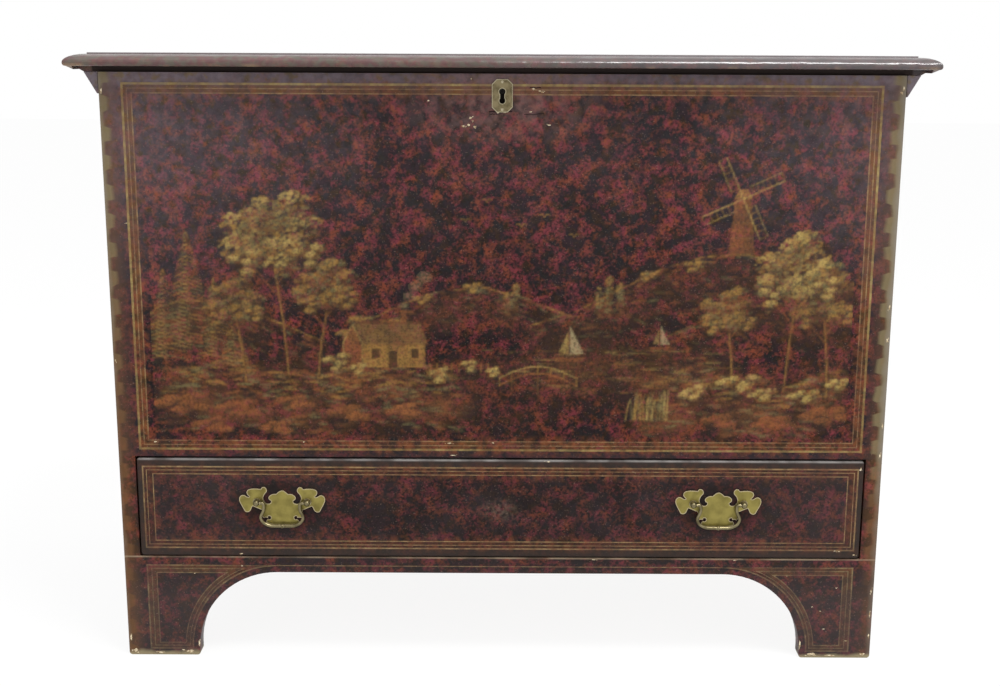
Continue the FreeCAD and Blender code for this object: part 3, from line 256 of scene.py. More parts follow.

# %% [markdown]
# ## Bloom, borders and rubbed corners
#
# A century of damp has left a grey bloom in the varnish, near the floor and at the top corners,
# where the grey haze is also painted glare of the light on the varnish, strongest at the top left.
# Under the gold lines the sponging was warmer. The upright corners were bound with steps of olive
# paint like battlements, and hands and skirts have rubbed the outermost edge to grey. A mask could
# be painted for each, but it would need an image. Here each is a colour laid over the sponged
# ground by a point's place on the chest or its distance from an edge.

# %% Bloom in the varnish and painted glare
BLOOM_MAUVE = linear("#6b6066")
BLOOM_TAN = linear("#6c5c4c")
CLOUD_MM = 55.0
BLOOM_PATCH_MM = 9.0
PALE_SPECK = linear("#8f7668")
SPECK_MM = 1.6
# Share of grey at the top corners: bloom and painted glare together.
CORNER_BLOOM_AND_GLARE = 0.44
FLOOR_GRIME = linear("#433a39")
HAZE_RISE_Z = (380, 720)
LEFT_HAZE_X = (-480, -120)
RIGHT_HAZE_X = (220, 460)
TOP_HAZE_Z = (430, 730)
UNDER_LID_Z = (panel_high.z - 20, panel_high.z - 6)
GRIME_Z = (160, 80)


def bloom_and_glare(tree, mm, axis, ground, bloom, corner):
    """Grey haze, dust and floor grime; bloom is the haze's general share, corner the share of bloom and
    painted glare at the top corners.
    """
    cloud = node(tree, "TexNoise", {"Vector": mm, "Scale": 1 / CLOUD_MM, "Detail": 4})
    patch = node(tree, "TexNoise", {"Vector": mm, "Scale": 1 / BLOOM_PATCH_MM, "Detail": 2}, None)
    dust = node(tree, "TexNoise", {"Vector": mm, "Scale": 1 / SPECK_MM, "Detail": 0})
    misty = node(tree, "MapRange", [cloud, 0.3, 0.7, 0.0, bloom])
    rising = node(tree, "MapRange", [axis[2], *HAZE_RISE_Z, 0.4, 1.2])
    general = node(tree, "Math", [misty, rising], operation="MULTIPLY")
    # The grey at the ends and the top is bloom and painted glare of the light on the varnish.
    left = node(tree, "MapRange", [axis[0], *LEFT_HAZE_X, 1.0, 0.16])
    right = node(tree, "MapRange", [axis[0], *RIGHT_HAZE_X, 0.0, 0.62])
    sides = node(tree, "Math", [left, right], operation="ADD")
    top = node(tree, "MapRange", [axis[2], *TOP_HAZE_Z, 0.0, corner])
    share = node(tree, "Math", [sides, top, general], operation="MULTIPLY_ADD")
    under_lid = node(tree, "MapRange", [axis[2], *UNDER_LID_Z, 0.0, corner])
    share = node(tree, "Math", [share, under_lid], operation="ADD")
    uneven = node(tree, "MapRange", [patch["Fac"], 0.32, 0.68, 0.75, 1.25])
    haze = node(tree, "Math", [share, uneven], operation="MULTIPLY")
    at_floor = node(tree, "MapRange", [axis[2], *GRIME_Z, 0.0, 0.5])
    ground = node(tree, "Mix", {0: at_floor, 6: ground, 7: FLOOR_GRIME}, 2, data_type="RGBA")
    specks = node(tree, "MapRange", [dust, 0.72, 0.85, 0.0, 0.3])
    ground = node(tree, "Mix", {0: specks, 6: ground, 7: PALE_SPECK}, 2, data_type="RGBA")
    hue = node(tree, "SeparateXYZ", [patch["Color"]], None)
    to_mauve = node(tree, "MapRange", [hue[1], 0.32, 0.48, 0, 1])
    grey = node(tree, "Mix", {0: to_mauve, 6: BLOOM_TAN, 7: BLOOM_MAUVE}, 2, data_type="RGBA")
    return node(tree, "Mix", {0: haze, 6: ground, 7: grey}, 2, data_type="RGBA")


print("bloom patches", BLOOM_PATCH_MM, "mm, dust", SPECK_MM, "mm")

# %% Warm border
BORDER_ORANGE = linear("#7a4527")
MARGIN_SLATE = linear("#2b2428")
BORDER_PATCH_MM = 10.0
BORDER_FADE_MM = (4, 15)
MARGIN_FADE_MM = (3, 9)


def beyond_border(tree, mm, border):
    """Distance outside the gold lines, less than 0 inside; border is their middle height and half sizes."""
    middle, half_x, half_z = border
    place = node(tree, "VectorMath", [mm, (0, 0, middle)], operation="SUBTRACT")
    size = node(tree, "VectorMath", [place], operation="ABSOLUTE")
    past = node(tree, "VectorMath", [size, (half_x, 0, half_z)], operation="SUBTRACT")
    beyond = node(tree, "SeparateXYZ", [past], None)
    return node(tree, "Math", [beyond[0], beyond[2]], operation="MAXIMUM")


def warm_border(tree, mm, ground, border):
    """Orange sponging under the gold lines, and less red outside them."""
    beyond = beyond_border(tree, mm, border)
    outside = node(tree, "MapRange", [beyond, *MARGIN_FADE_MM, 0, 0.5])
    ground = node(tree, "Mix", {0: outside, 6: ground, 7: MARGIN_SLATE}, 2, data_type="RGBA")
    edge = node(tree, "Math", [beyond], operation="ABSOLUTE")
    near = node(tree, "MapRange", [edge, *BORDER_FADE_MM, 1, 0])
    patch = node(tree, "TexNoise", {"Vector": mm, "Scale": 1 / BORDER_PATCH_MM, "Detail": 4})
    dabbed = node(tree, "MapRange", [patch, 0.44, 0.66, 0, 0.65])
    share = node(tree, "Math", [near, dabbed], operation="MULTIPLY")
    return node(tree, "Mix", {0: share, 6: ground, 7: BORDER_ORANGE}, 2, data_type="RGBA")


print("warm border", 2 * BORDER_FADE_MM[1], "mm wide")

# %% Olive corners
RIM_GREY = linear("#766f65")
CORNER_OLIVE = linear("#786e50")
CORNER_BROWN = linear("#65472d")
SCUFFED_FOOT = linear("#8b8063")
BATTLEMENT_MM = 35.0
STEP_WIDTHS_MM = (2.5, 9.5)
STEP_BLUR_MM = 2.5
WAVER_MM = 24.0
WAVER_REACH_MM = 9.0
LEFT_NARROWER_MM = 3.5
BROWN_UP_TO_Z = (300, 210)  # at the left corner and at the right one
OLIVE_FROM_Z = (600, 290)
BARE_FOOT_Z = (110, 150)
HANDLED_EDGE_MM = (9, 24)
SCUFF_Z = (-5, 0)
SCUFF_RISE_MM = 14.0


def olive_corners(tree, mm, axis, ground):
    """Front corners of the case: soft steps of olive paint, a rubbed grey rim and scuffed feet."""
    across = node(tree, "Math", [axis[0]], operation="ABSOLUTE")
    from_end = node(tree, "Math", [HALF_CASE, across], operation="SUBTRACT")
    from_front = node(tree, "Math", [axis[1], FRONT], operation="SUBTRACT")
    corner = node(tree, "Math", [from_end, from_front], operation="MAXIMUM")
    wobble = node(tree, "TexNoise", {"Vector": mm, "Scale": 1 / WAVER_MM, "Detail": 2})
    narrower = node(tree, "MapRange", [axis[0], 0, 1, LEFT_NARROWER_MM, 0])
    moved = node(tree, "Math", [corner, narrower], operation="ADD")
    inward = node(tree, "Math", [wobble, -WAVER_REACH_MM, moved], operation="MULTIPLY_ADD")
    sway = node(tree, "Math", [wobble, 1.6], operation="MULTIPLY")
    turn = node(tree, "Math", [axis[2], math.tau / BATTLEMENT_MM, sway], operation="MULTIPLY_ADD")
    wave = node(tree, "Math", [turn], operation="SINE")
    step = node(tree, "MapRange", [wave, -0.2, 0.2, *STEP_WIDTHS_MM])
    brown_below = node(tree, "MapRange", [axis[0], 0, 1, *BROWN_UP_TO_Z])
    olive_above = node(tree, "MapRange", [axis[0], 0, 1, *OLIVE_FROM_Z])
    upper = node(tree, "MapRange", [axis[2], brown_below, olive_above, 0, 1])
    at_left = node(tree, "MapRange", [axis[0], 0, 1, 1, 0])
    above_foot = node(tree, "MapRange", [axis[2], *BARE_FOOT_Z, 0.35, 1])
    kept = node(tree, "Math", [at_left, above_foot], operation="MAXIMUM")
    within = node(tree, "Math", [step, inward], operation="SUBTRACT")
    block = node(tree, "MapRange", [within, -STEP_BLUR_MM, STEP_BLUR_MM, 0.0, 0.58])
    block = node(tree, "Math", [block, kept], operation="MULTIPLY")
    olive = node(tree, "Mix", {0: upper, 6: CORNER_BROWN, 7: CORNER_OLIVE}, 2, data_type="RGBA")
    gripped = node(tree, "MapRange", [corner, *HANDLED_EDGE_MM, 0.36, 0])
    handled = node(tree, "Math", [gripped, kept], operation="MULTIPLY")
    ground = node(tree, "Mix", {0: handled, 6: ground, 7: CORNER_BROWN}, 2, data_type="RGBA")
    ground = node(tree, "Mix", {0: block, 6: ground, 7: olive}, 2, data_type="RGBA")
    outermost = node(tree, "MapRange", [inward, -4.0, 3.0, 0.78, 0.0])
    greyer_above = node(tree, "MapRange", [upper, 0, 1, 0.5, 1.0])
    rim = node(tree, "Math", [outermost, greyer_above], operation="MULTIPLY")
    ground = node(tree, "Mix", {0: rim, 6: ground, 7: RIM_GREY}, 2, data_type="RGBA")
    height = node(tree, "Math", [wobble, -SCUFF_RISE_MM, axis[2]], operation="MULTIPLY_ADD")
    scuffed = node(tree, "MapRange", [height, *SCUFF_Z, 0.8, 0])
    return node(tree, "Mix", {0: scuffed, 6: ground, 7: SCUFFED_FOOT}, 2, data_type="RGBA")


print("battlements", BATTLEMENT_MM, "mm apart")


# %% The whole painted ground
def lay_ground(tree, bloom, depth, border=None, corners=False, corner_bloom_and_glare=CORNER_BLOOM_AND_GLARE):
    """The painted ground of a board, without lines or picture, as a colour socket."""
    mm, axis = place_mm(tree)
    ground = sponged(tree, mm, axis, depth)
    if border:
        ground = warm_border(tree, mm, ground, border)
    ground = bloom_and_glare(tree, mm, axis, ground, bloom, corner_bloom_and_glare)
    if corners:
        ground = olive_corners(tree, mm, axis, ground)
    return ground


print("layers", [layer.__name__ for layer in (sponged, warm_border, bloom_and_glare, olive_corners)])

# %% [markdown]
# ## Bare pine
#
# The back, the floor, the drawer's linings and the inner faces of the painted boards were planed
# and left bare, and have darkened to the colour of honey. Pine has growth bands, dark on one side,
# drawn out along the board. A picture of planks could be laid on them, but it would repeat from
# board to board. Here the pattern is stretched along the grain, so each direction of board has its
# own scale, and each board's number moves the pattern so that no two boards are alike.

# %% Planed pine
PINE_PALE = linear("#ab8c61")
PINE_DARK = linear("#84633f")
PINE_GREY = linear("#7d6a52")
RING_MM = 11.0
BEND_MM = 60.0
STREAK_MM = 45.0
AGED_PATCH_MM = 120.0
FIBRE_MM = 2.2  # real fibres are finer than a pixel here
FIBRE_DEPTH_MM = 0.3
BOARD_SHIFT_MM = 900.0
ALONG_X = (0.05, 1, 1)
ALONG_Y = (1, 0.05, 1)
ALONG_Z = (1, 1, 0.05)


def lay_pine(tree, grain):
    """Colour and fibre height of planed pine; grain shrinks the axis that the fibres follow."""
    mm, _ = place_mm(tree)
    board = node(tree, "ObjectInfo", out="Random")
    moved = node(tree, "VectorMath", [board, (BOARD_SHIFT_MM,) * 3, mm], operation="MULTIPLY_ADD")
    along = node(tree, "VectorMath", [moved, grain], operation="MULTIPLY")
    sway = node(tree, "TexNoise", {"Vector": along, "Scale": 1 / BEND_MM, "Detail": 3}, "Color")
    bent = node(tree, "VectorMath", [sway, (BEND_MM,) * 3, along], operation="MULTIPLY_ADD")
    rings = node(tree, "TexWave", {"Vector": bent, "Scale": 0.3 / RING_MM, "Distortion": 3.0, "Detail": 2.0},
                 "Fac", wave_profile="SAW", bands_direction="DIAGONAL")
    fibre = node(tree, "TexNoise", {"Vector": along, "Scale": 1 / FIBRE_MM, "Detail": 4})
    wide = node(tree, "TexNoise", {"Vector": along, "Scale": 1 / STREAK_MM, "Detail": 2})
    fine = node(tree, "MapRange", [fibre, 0.3, 0.7, 0.3, 1.0])
    streaked = node(tree, "MapRange", [wide, 0.35, 0.65, 0.25, 1.0])
    plain = node(tree, "Math", [fine, streaked], operation="MULTIPLY")
    tone = node(tree, "Math", [rings, plain], operation="MULTIPLY")
    wood = node(tree, "Mix", {0: tone, 6: PINE_PALE, 7: PINE_DARK}, 2, data_type="RGBA")
    dust = node(tree, "TexNoise", {"Vector": mm, "Scale": 1 / AGED_PATCH_MM, "Detail": 4})
    aged = node(tree, "MapRange", [dust, 0.4, 0.7, 0.0, 0.45])
    return node(tree, "Mix", {0: aged, 6: wood, 7: PINE_GREY}, 2, data_type="RGBA"), fibre


def planed_pine(name, grain):
    """Bare softwood off the plane: dull, warm, with the ridges of its fibres."""
    material, tree = new_material(name)
    colour, fibre = lay_pine(tree, grain)
    bump = node(tree, "Bump", {"Height": fibre, "Strength": 0.3, "Distance": FIBRE_DEPTH_MM * MM})
    wood = node(tree, "BsdfPrincipled", {"Base Color": colour, "Roughness": 0.72, "Normal": bump,
                                         "Specular IOR Level": 0.3})
    node(tree, "OutputMaterial", {"Surface": wood}, None)
    return material


def finish(material, *names):
    """Gives CAD nodes one material."""
    for name in names:
        nodes[name].data.materials.clear()
        nodes[name].data.materials.append(material)
    print(material.name, "on", len(names))


finish(planed_pine("planed_pine_along_front", ALONG_X), "chest_bottom", "back_board_bottom",
       "back_board_middle", "back_board_top", "drawer_back", "drawer_bottom")
finish(planed_pine("planed_pine_along_depth", ALONG_Y), "left_drawer_runner", "right_drawer_runner",
       "drawer_stops", "drawer_left_side", "drawer_right_side")
finish(planed_pine("planed_pine_upright", ALONG_Z), "corner_blocks")

# %% [markdown]
# ## Varnished boards
#
# Old varnish is glossy but not even: it has sunk into the brush marks and been rubbed dull by
# hands. A clear coat could lie over the paint as a layer of its own, but on so dark a ground one
# surface looks the same and is simpler. A noise moves its roughness between polished and dull, and
# a faint bump follows the brush. Only the outside was painted, so each board turns to bare pine
# at its inner face.

# %% Varnish over paint
RUBBED_MM = 34.0
BRUSH_MARK_MM = 5.0
BRUSH_DEPTH_MM = 0.25
DENT_MM = 20.0
FRONT_WRAP_MM = (6, 9)  # how far the brush went around the front edges
END_WRAP_MM = (2, 5)


def varnish(tree, colour, polish=(0.3, 0.5), shine=0.08, gleam=None, brushed=0.3, dents=0):
    """Aged varnish over a colour: roughness range, shine, its tint, brush marks and dents in mm."""
    mm, _ = place_mm(tree)
    rubbed = node(tree, "TexNoise", {"Vector": mm, "Scale": 1 / RUBBED_MM, "Detail": 4})
    ripple = node(tree, "TexNoise", {"Vector": mm, "Scale": 1 / BRUSH_MARK_MM, "Detail": 3})
    dull = node(tree, "MapRange", [rubbed, 0.3, 0.7, *polish])
    bump = node(tree, "Bump", {"Height": ripple, "Strength": brushed, "Distance": BRUSH_DEPTH_MM * MM})
    if dents:
        knocks = node(tree, "TexNoise", {"Vector": mm, "Scale": 1 / DENT_MM, "Detail": 1})
        bump = node(tree, "Bump", {"Height": knocks, "Strength": 1.0, "Distance": dents * MM, "Normal": bump})
    inputs = {"Base Color": colour, "Roughness": dull, "Normal": bump, "Specular IOR Level": shine}
    if gleam:
        inputs["Specular Tint"] = gleam
    node(tree, "OutputMaterial", {"Surface": node(tree, "BsdfPrincipled", inputs)}, None)


def bare_inside(tree, colour, limits, axis, grain):
    """Paint that gives way to bare pine where an axis passes from one limit to the other, inside the case."""
    _, places = place_mm(tree)
    across = node(tree, "Math", [places[0]], operation="ABSOLUTE")
    inward = node(tree, "MapRange", [across if axis == 0 else places[axis], *limits, 0, 1])
    past_front = node(tree, "MapRange", [places[1], *(FRONT + wrap for wrap in FRONT_WRAP_MM), 0, 1])
    past_end = node(tree, "MapRange", [across, *(HALF_CASE - wrap for wrap in END_WRAP_MM), 0, 1])
    past_brush = node(tree, "Math", [past_front, past_end], operation="MULTIPLY")
    bare = node(tree, "Math", [inward, past_brush], operation="MULTIPLY")
    return node(tree, "Mix", {0: bare, 6: colour, 7: lay_pine(tree, grain)[0]}, 2, data_type="RGBA")


def oval(tree, mm, middle, half):
    """Distance from a place on the front, as a share of an oval's half sizes, alike on left and right."""
    mirrored_mm = node(tree, "VectorMath", [mm], operation="ABSOLUTE")
    away = node(tree, "VectorMath", [mirrored_mm, (middle[0], 0, middle[1])], operation="SUBTRACT")
    share = node(tree, "VectorMath", [away, (1 / half[0], 0, 1 / half[1])], operation="MULTIPLY")
    return node(tree, "VectorMath", [share], "Value", operation="LENGTH")


def band_of_lines(low, high, end_mm, edge_mm, drop_mm=0):
    """Middle height and half sizes of the gold lines, set in from a board's ends and edges."""
    return (low.z + high.z) / 2 - drop_mm, high.x - end_mm, (high.z - low.z) / 2 - edge_mm


print("varnish with brush marks", BRUSH_MARK_MM, "mm wide")

# %% Ground of the panel
PANEL_LINES = band_of_lines(panel_low, panel_high, end_mm=33, edge_mm=17.2, drop_mm=1.7)
CASE_BLOOM = 0.06
CASE_DEPTH = 0.05
# Near-black for painted shade inside the keyhole and painted shadow around the handles.
PAINTED_SHADE_DARK = linear("#191210")
key_low, key_high = box_mm("keyhole_escutcheon")
KEYHOLE = (0, (key_low.z + key_high.z) / 2)
HANDLED_ROSE = linear("#7b5b56")
HANDLED_HALF_MM = (130, 58)
HANDLED_PATCH_MM = 9.0
BORE_HALF_MM = (12, 18)
BORE_Y = (FRONT + 0.5, FRONT + 0.8)


def panel_ground(tree):
    """Ground of the panel, greyed by hands around the lock, with painted shade inside the keyhole's bore."""
    ground = lay_ground(tree, CASE_BLOOM, CASE_DEPTH, PANEL_LINES, True)
    mm, axis = place_mm(tree)
    patchy = node(tree, "TexNoise", {"Vector": mm, "Scale": 1 / HANDLED_PATCH_MM, "Detail": 4})
    around = node(tree, "MapRange", [oval(tree, mm, KEYHOLE, HANDLED_HALF_MM), 0.3, 1.1, 0.5, 0])
    blotched = node(tree, "MapRange", [patchy, 0.36, 0.64, 0.15, 1])
    handled = node(tree, "Math", [around, blotched], operation="MULTIPLY")
    ground = node(tree, "Mix", {0: handled, 6: ground, 7: HANDLED_ROSE}, 2, data_type="RGBA")
    # Inside the keyhole's bore the colour goes near-black: painted shade of the hole.
    bore = node(tree, "MapRange", [oval(tree, mm, KEYHOLE, BORE_HALF_MM), 0.95, 1.0, 1, 0])
    deep = node(tree, "MapRange", [axis[1], *BORE_Y, 0, 1])
    share = node(tree, "Math", [bore, deep], operation="MULTIPLY")
    return node(tree, "Mix", {0: share, 6: ground, 7: PAINTED_SHADE_DARK}, 2, data_type="RGBA")


print("keyhole at height", round(KEYHOLE[1], 1))

# %% Ground of the apron and the sides
LIP_TAN = linear("#8d7c67")
LIP_WEAR_MM = 40.0
LIP_Z = (-2.2, -1.0)  # above the apron's top edge
LIP_MARGIN_MM = 0.5
LIP_DEPTH_MM = 4


def case_ground(tree, corner_bloom_and_glare=CORNER_BLOOM_AND_GLARE):
    """Ground of the apron and the sides, with the apron's top edge rubbed pale under the drawer."""
    ground = lay_ground(tree, CASE_BLOOM, CASE_DEPTH, None, True, corner_bloom_and_glare)
    mm, axis = place_mm(tree)
    broken = node(tree, "TexNoise", {"Vector": mm, "Scale": 1 / LIP_WEAR_MM, "Detail": 3})
    above = node(tree, "Math", [axis[2], apron_high.z], operation="SUBTRACT")
    lip = node(tree, "MapRange", [above, *LIP_Z, 0, 1])
    below = node(tree, "Math", [axis[2], apron_high.z + LIP_MARGIN_MM], operation="LESS_THAN")
    forward = node(tree, "Math", [axis[1], FRONT + LIP_DEPTH_MM], operation="LESS_THAN")
    on_apron = node(tree, "Math", [below, forward], operation="MULTIPLY")
    rubbed = node(tree, "MapRange", [broken, 0.4, 0.6, 0.2, 0.7])
    share = node(tree, "Math", [lip, rubbed], operation="MULTIPLY")
    share = node(tree, "Math", [share, on_apron], operation="MULTIPLY")
    return node(tree, "Mix", {0: share, 6: ground, 7: LIP_TAN}, 2, data_type="RGBA")


print("lip at height", round(apron_high.z, 1))

# %% Varnish of the case boards
SIDE_BLOOM_AND_GLARE = 0.2
BOARD_MM = 20.0
INNER_Y = (panel_high.y - 1, panel_high.y - 0.5)
INNER_X = (HALF_CASE - BOARD_MM + 0.15, HALF_CASE - BOARD_MM + 0.05)
# Japanned pine: paint under varnish, so soft colour below a broken gleam.
panel_paint, tree = new_material("japanned_pine_panel")
varnish(tree, bare_inside(tree, panel_ground(tree), INNER_Y, 1, ALONG_X))
finish(panel_paint, "front_panel")
apron_paint, tree = new_material("japanned_pine_apron")
varnish(tree, bare_inside(tree, case_ground(tree), INNER_Y, 1, ALONG_X))
finish(apron_paint, "front_apron", "front_nails")
side_paint, tree = new_material("japanned_pine_side")
varnish(tree, bare_inside(tree, case_ground(tree, SIDE_BLOOM_AND_GLARE), INNER_X, 0, ALONG_Z))
finish(side_paint, "left_side", "right_side")

# %% Drawer front
DRAWER_LINES = band_of_lines(drawer_low, drawer_high, end_mm=13, edge_mm=15.5)
DRAWER_BLOOM = 0.16
DRAWER_DEPTH = 0.24
HAZY_ENDS_X = (120, 420)
LIP_HIGHLIGHT_GREY = linear("#8a8683")
MARGIN_BROWN = linear("#2c2620")
plate_low, plate_high = box_mm("right_handle_plate")
HANDLE = ((plate_low.x + plate_high.x) / 2, (plate_low.z + plate_high.z) / 2)
HANDLE_SHADOW_HALF_MM = (62, 34)
RUBBED_PLACE = (0, DRAWER_LINES[0] - 2)
RUBBED_HALF_MM = (26, 15)
RUBBED_STROKE_MM = 5.0
DRAWER_WEAR_MM = 30.0
DRAWER_LIP_Z = (drawer_high.z - 3.4, drawer_high.z - 1.4)
DRAWER_LIP_Y = (FRONT + 4, FRONT + 7)
DRAWER_MARGIN_MM = (4, 7)
DRAWER_INNER_Y = (drawer_high.y - 1, drawer_high.y - 0.5)
HANDLED_GREY = linear("#3b3231")


def drawer_ground(tree):
    """Ground of the drawer: hazy ends, brown margin, rubbed lip with a painted highlight, painted shadow
    around the handles, a rubbed place.
    """
    ground = lay_ground(tree, DRAWER_BLOOM, DRAWER_DEPTH, DRAWER_LINES)
    mm, axis = place_mm(tree)
    across = node(tree, "Math", [axis[0]], operation="ABSOLUTE")
    hazy_ends = node(tree, "MapRange", [across, *HAZY_ENDS_X, 0.08, 0.32])
    ground = node(tree, "Mix", {0: hazy_ends, 6: ground, 7: HANDLED_GREY}, 2, data_type="RGBA")
    margin = node(tree, "MapRange", [beyond_border(tree, mm, DRAWER_LINES), *DRAWER_MARGIN_MM, 0, 0.62])
    ground = node(tree, "Mix", {0: margin, 6: ground, 7: MARGIN_BROWN}, 2, data_type="RGBA")
    worn = node(tree, "TexNoise", {"Vector": mm, "Scale": 1 / DRAWER_WEAR_MM, "Detail": 3})
    # A pale grey along the top edge is a painted highlight on the drawer's rounded lip, broken by wear.
    upper_edge = node(tree, "MapRange", [axis[2], *DRAWER_LIP_Z, 0, 1])
    broken_highlight = node(tree, "MapRange", [worn, 0.4, 0.6, 0.25, 0.75])
    forward = node(tree, "MapRange", [axis[1], *DRAWER_LIP_Y, 1, 0])
    lip = node(tree, "Math", [upper_edge, broken_highlight], operation="MULTIPLY")
    lip = node(tree, "Math", [lip, forward], operation="MULTIPLY")
    ground = node(tree, "Mix", {0: lip, 6: ground, 7: LIP_HIGHLIGHT_GREY}, 2, data_type="RGBA")
    # A dark oval around each handle plate is painted shadow cast by the plate.
    handle_shadow = node(tree, "MapRange", [oval(tree, mm, HANDLE, HANDLE_SHADOW_HALF_MM), 0.75, 1.15, 0.6, 0])
    ground = node(tree, "Mix", {0: handle_shadow, 6: ground, 7: PAINTED_SHADE_DARK}, 2, data_type="RGBA")
    strokes = node(tree, "TexNoise", {"Vector": mm, "Scale": 1 / RUBBED_STROKE_MM, "Detail": 4})
    around = node(tree, "MapRange", [oval(tree, mm, RUBBED_PLACE, RUBBED_HALF_MM), 0.4, 1.2, 0.32, 0])
    stroked = node(tree, "MapRange", [strokes, 0.4, 0.62, 0, 1])
    rubbed = node(tree, "Math", [around, stroked], operation="MULTIPLY")
    return node(tree, "Mix", {0: rubbed, 6: ground, 7: BLOOM_TAN}, 2, data_type="RGBA")


drawer_paint, tree = new_material("japanned_pine_drawer")
varnish(tree, bare_inside(tree, drawer_ground(tree), DRAWER_INNER_Y, 1, ALONG_X))
finish(drawer_paint, "drawer_front")

# %% [markdown]
# ## The lid's wear
#
# Hands lift the lid by its nose, so there the paint has gone russet, shows some wood and keeps the
# best polish. A grey along the nose, growing towards the right, is painted sheen of the varnish, a
# pale line on the step's edge is a painted highlight, and the rebate behind the nose is painted
# near-black as its shade. The board could be cut into faces with a material each, but a worn place
# has no sharp end, so one material blends its colours by the distance from the lid's front.

# %% Ground of the lid
lid_low, lid_high = box_mm("lid_board")
REBATE_TOP = lid_low.z + 6.5
REBATE_HALF = lid_high.x - 24
REBATE_BLUR_MM = (0.3, 2)
NOSE_Y = (lid_low.y + 30, lid_low.y + 70)
SCUFFED_Z = (lid_low.z + 11, lid_low.z + 7)
CREST_Y = (lid_low.y + 30, lid_low.y + 26)
CREST_Z = (lid_high.z - 2.4, lid_high.z - 1.6)
SHEEN_GREY_X = (-320, 320)
RUSSET_X = (-60, 160)
LID_HUE_MM = 10.0
LID_SCUFF_MM = 40.0
LID_BLOOM = 0.22
LID_CORNER_BLOOM_AND_GLARE = 0.12
RUBBED_PINE = linear("#8a7359")
STEP_HIGHLIGHT_GREY = linear("#7c7476")
LID_SHEEN_GREY = linear("#3a3638")
LID_OLIVE = linear("#5c5547")
LID_RUSSET = linear("#5f403c")
REBATE_PAINTED_SHADE = linear("#302927")


def lid_rebate(tree, axis):
    """1 in the rebate behind the lid's nose, which takes a near-black colour as painted shade."""
    low = node(tree, "MapRange", [axis[2], REBATE_TOP - REBATE_BLUR_MM[0], REBATE_TOP, 1, 0])
    across = node(tree, "Math", [axis[0]], operation="ABSOLUTE")
    inside = node(tree, "MapRange", [across, REBATE_HALF - REBATE_BLUR_MM[1], REBATE_HALF, 1, 0])
    return node(tree, "Math", [low, inside], operation="MULTIPLY")


def lid_ground(tree):
    """Ground of the lid: a grey of painted sheen along its nose, russet where handled, worn to wood in a few
    places, a painted highlight on its step and painted shade in the rebate.
    """
    ground = lay_ground(tree, LID_BLOOM, 0.0, corner_bloom_and_glare=LID_CORNER_BLOOM_AND_GLARE)
    mm, axis = place_mm(tree)
    # The grey along the nose, more of it towards the right, is painted sheen of the varnish.
    nose_front = node(tree, "MapRange", [axis[1], *NOSE_Y, 1.0, 0.2])
    to_right = node(tree, "MapRange", [axis[0], *SHEEN_GREY_X, 0.36, 0.68])
    sheen_grey = node(tree, "Math", [nose_front, to_right], operation="MULTIPLY")
    ground = node(tree, "Mix", {0: sheen_grey, 6: ground, 7: LID_SHEEN_GREY}, 2, data_type="RGBA")
    hue = node(tree, "TexNoise", {"Vector": mm, "Scale": 1 / LID_HUE_MM, "Detail": 3})
    to_russet = node(tree, "MapRange", [hue, 0.42, 0.58, 0, 1])
    patches = node(tree, "Mix", {0: to_russet, 6: LID_OLIVE, 7: LID_RUSSET}, 2, data_type="RGBA")
    at_left = node(tree, "MapRange", [axis[0], *RUSSET_X, 0.55, 0.1])
    handled = node(tree, "Math", [nose_front, at_left], operation="MULTIPLY")
    ground = node(tree, "Mix", {0: handled, 6: ground, 7: patches}, 2, data_type="RGBA")
    edge = node(tree, "MapRange", [axis[2], *SCUFFED_Z, 0, 1])
    scuffs = node(tree, "TexNoise", {"Vector": mm, "Scale": 1 / LID_SCUFF_MM, "Detail": 4})
    scuffed = node(tree, "MapRange", [scuffs, 0.58, 0.68, 0, 0.7])
    worn = node(tree, "Math", [edge, scuffed], operation="MULTIPLY")
    ground = node(tree, "Mix", {0: worn, 6: ground, 7: RUBBED_PINE}, 2, data_type="RGBA")
    # A pale grey line along the step's edge is a painted highlight.
    front = node(tree, "MapRange", [axis[1], *CREST_Y, 0, 0.75])
    step = node(tree, "MapRange", [axis[2], *CREST_Z, 0, 1])
    crest = node(tree, "Math", [front, step], operation="MULTIPLY")
    ground = node(tree, "Mix", {0: crest, 6: ground, 7: STEP_HIGHLIGHT_GREY}, 2, data_type="RGBA")
    # The rebate behind the nose gets a near-black colour as painted shade.
    return node(tree, "Mix", {0: lid_rebate(tree, axis), 6: ground, 7: REBATE_PAINTED_SHADE}, 2, data_type="RGBA")


print("lid nose", round(lid_low.y, 1), "to", round(NOSE_Y[0], 1))

# %% Varnish of the lid and its battens
POLISHED_Y = (lid_low.y + 24, lid_low.y + 34)
POLISHED_X = (-60, 100)
UNDERSIDE_Z = (lid_low.z + 0.6, lid_low.z + 0.3)
BATTEN_BLOOM = 0.5
# The lid's nose was wiped most, so its varnish still mirrors the window. Its top is duller, and
# its rebate has no gleam, which keeps it dark as painted shade.
lid_paint, tree = new_material("japanned_pine_lid")
_, lid_axis = place_mm(tree)
at_nose = node(tree, "MapRange", [lid_axis[1], *POLISHED_Y, 1.0, 0.3])
to_right = node(tree, "MapRange", [lid_axis[0], *POLISHED_X, 0.4, 1.0])
nose = node(tree, "Math", [at_nose, to_right], operation="MULTIPLY")
not_rebate = node(tree, "MapRange", [lid_rebate(tree, lid_axis), 0, 1, 1, 0])
lit = node(tree, "Math", [nose, not_rebate], operation="MULTIPLY")
gleam = node(tree, "CombineColor", [lit, lit, lit])
lid_colour = bare_inside(tree, lid_ground(tree), UNDERSIDE_Z, 2, ALONG_X)
varnish(tree, lid_colour, polish=(0.18, 0.3), shine=0.6, gleam=gleam, brushed=0.7, dents=1.5)
finish(lid_paint, "lid_board")
batten_paint, tree = new_material("japanned_pine_batten")
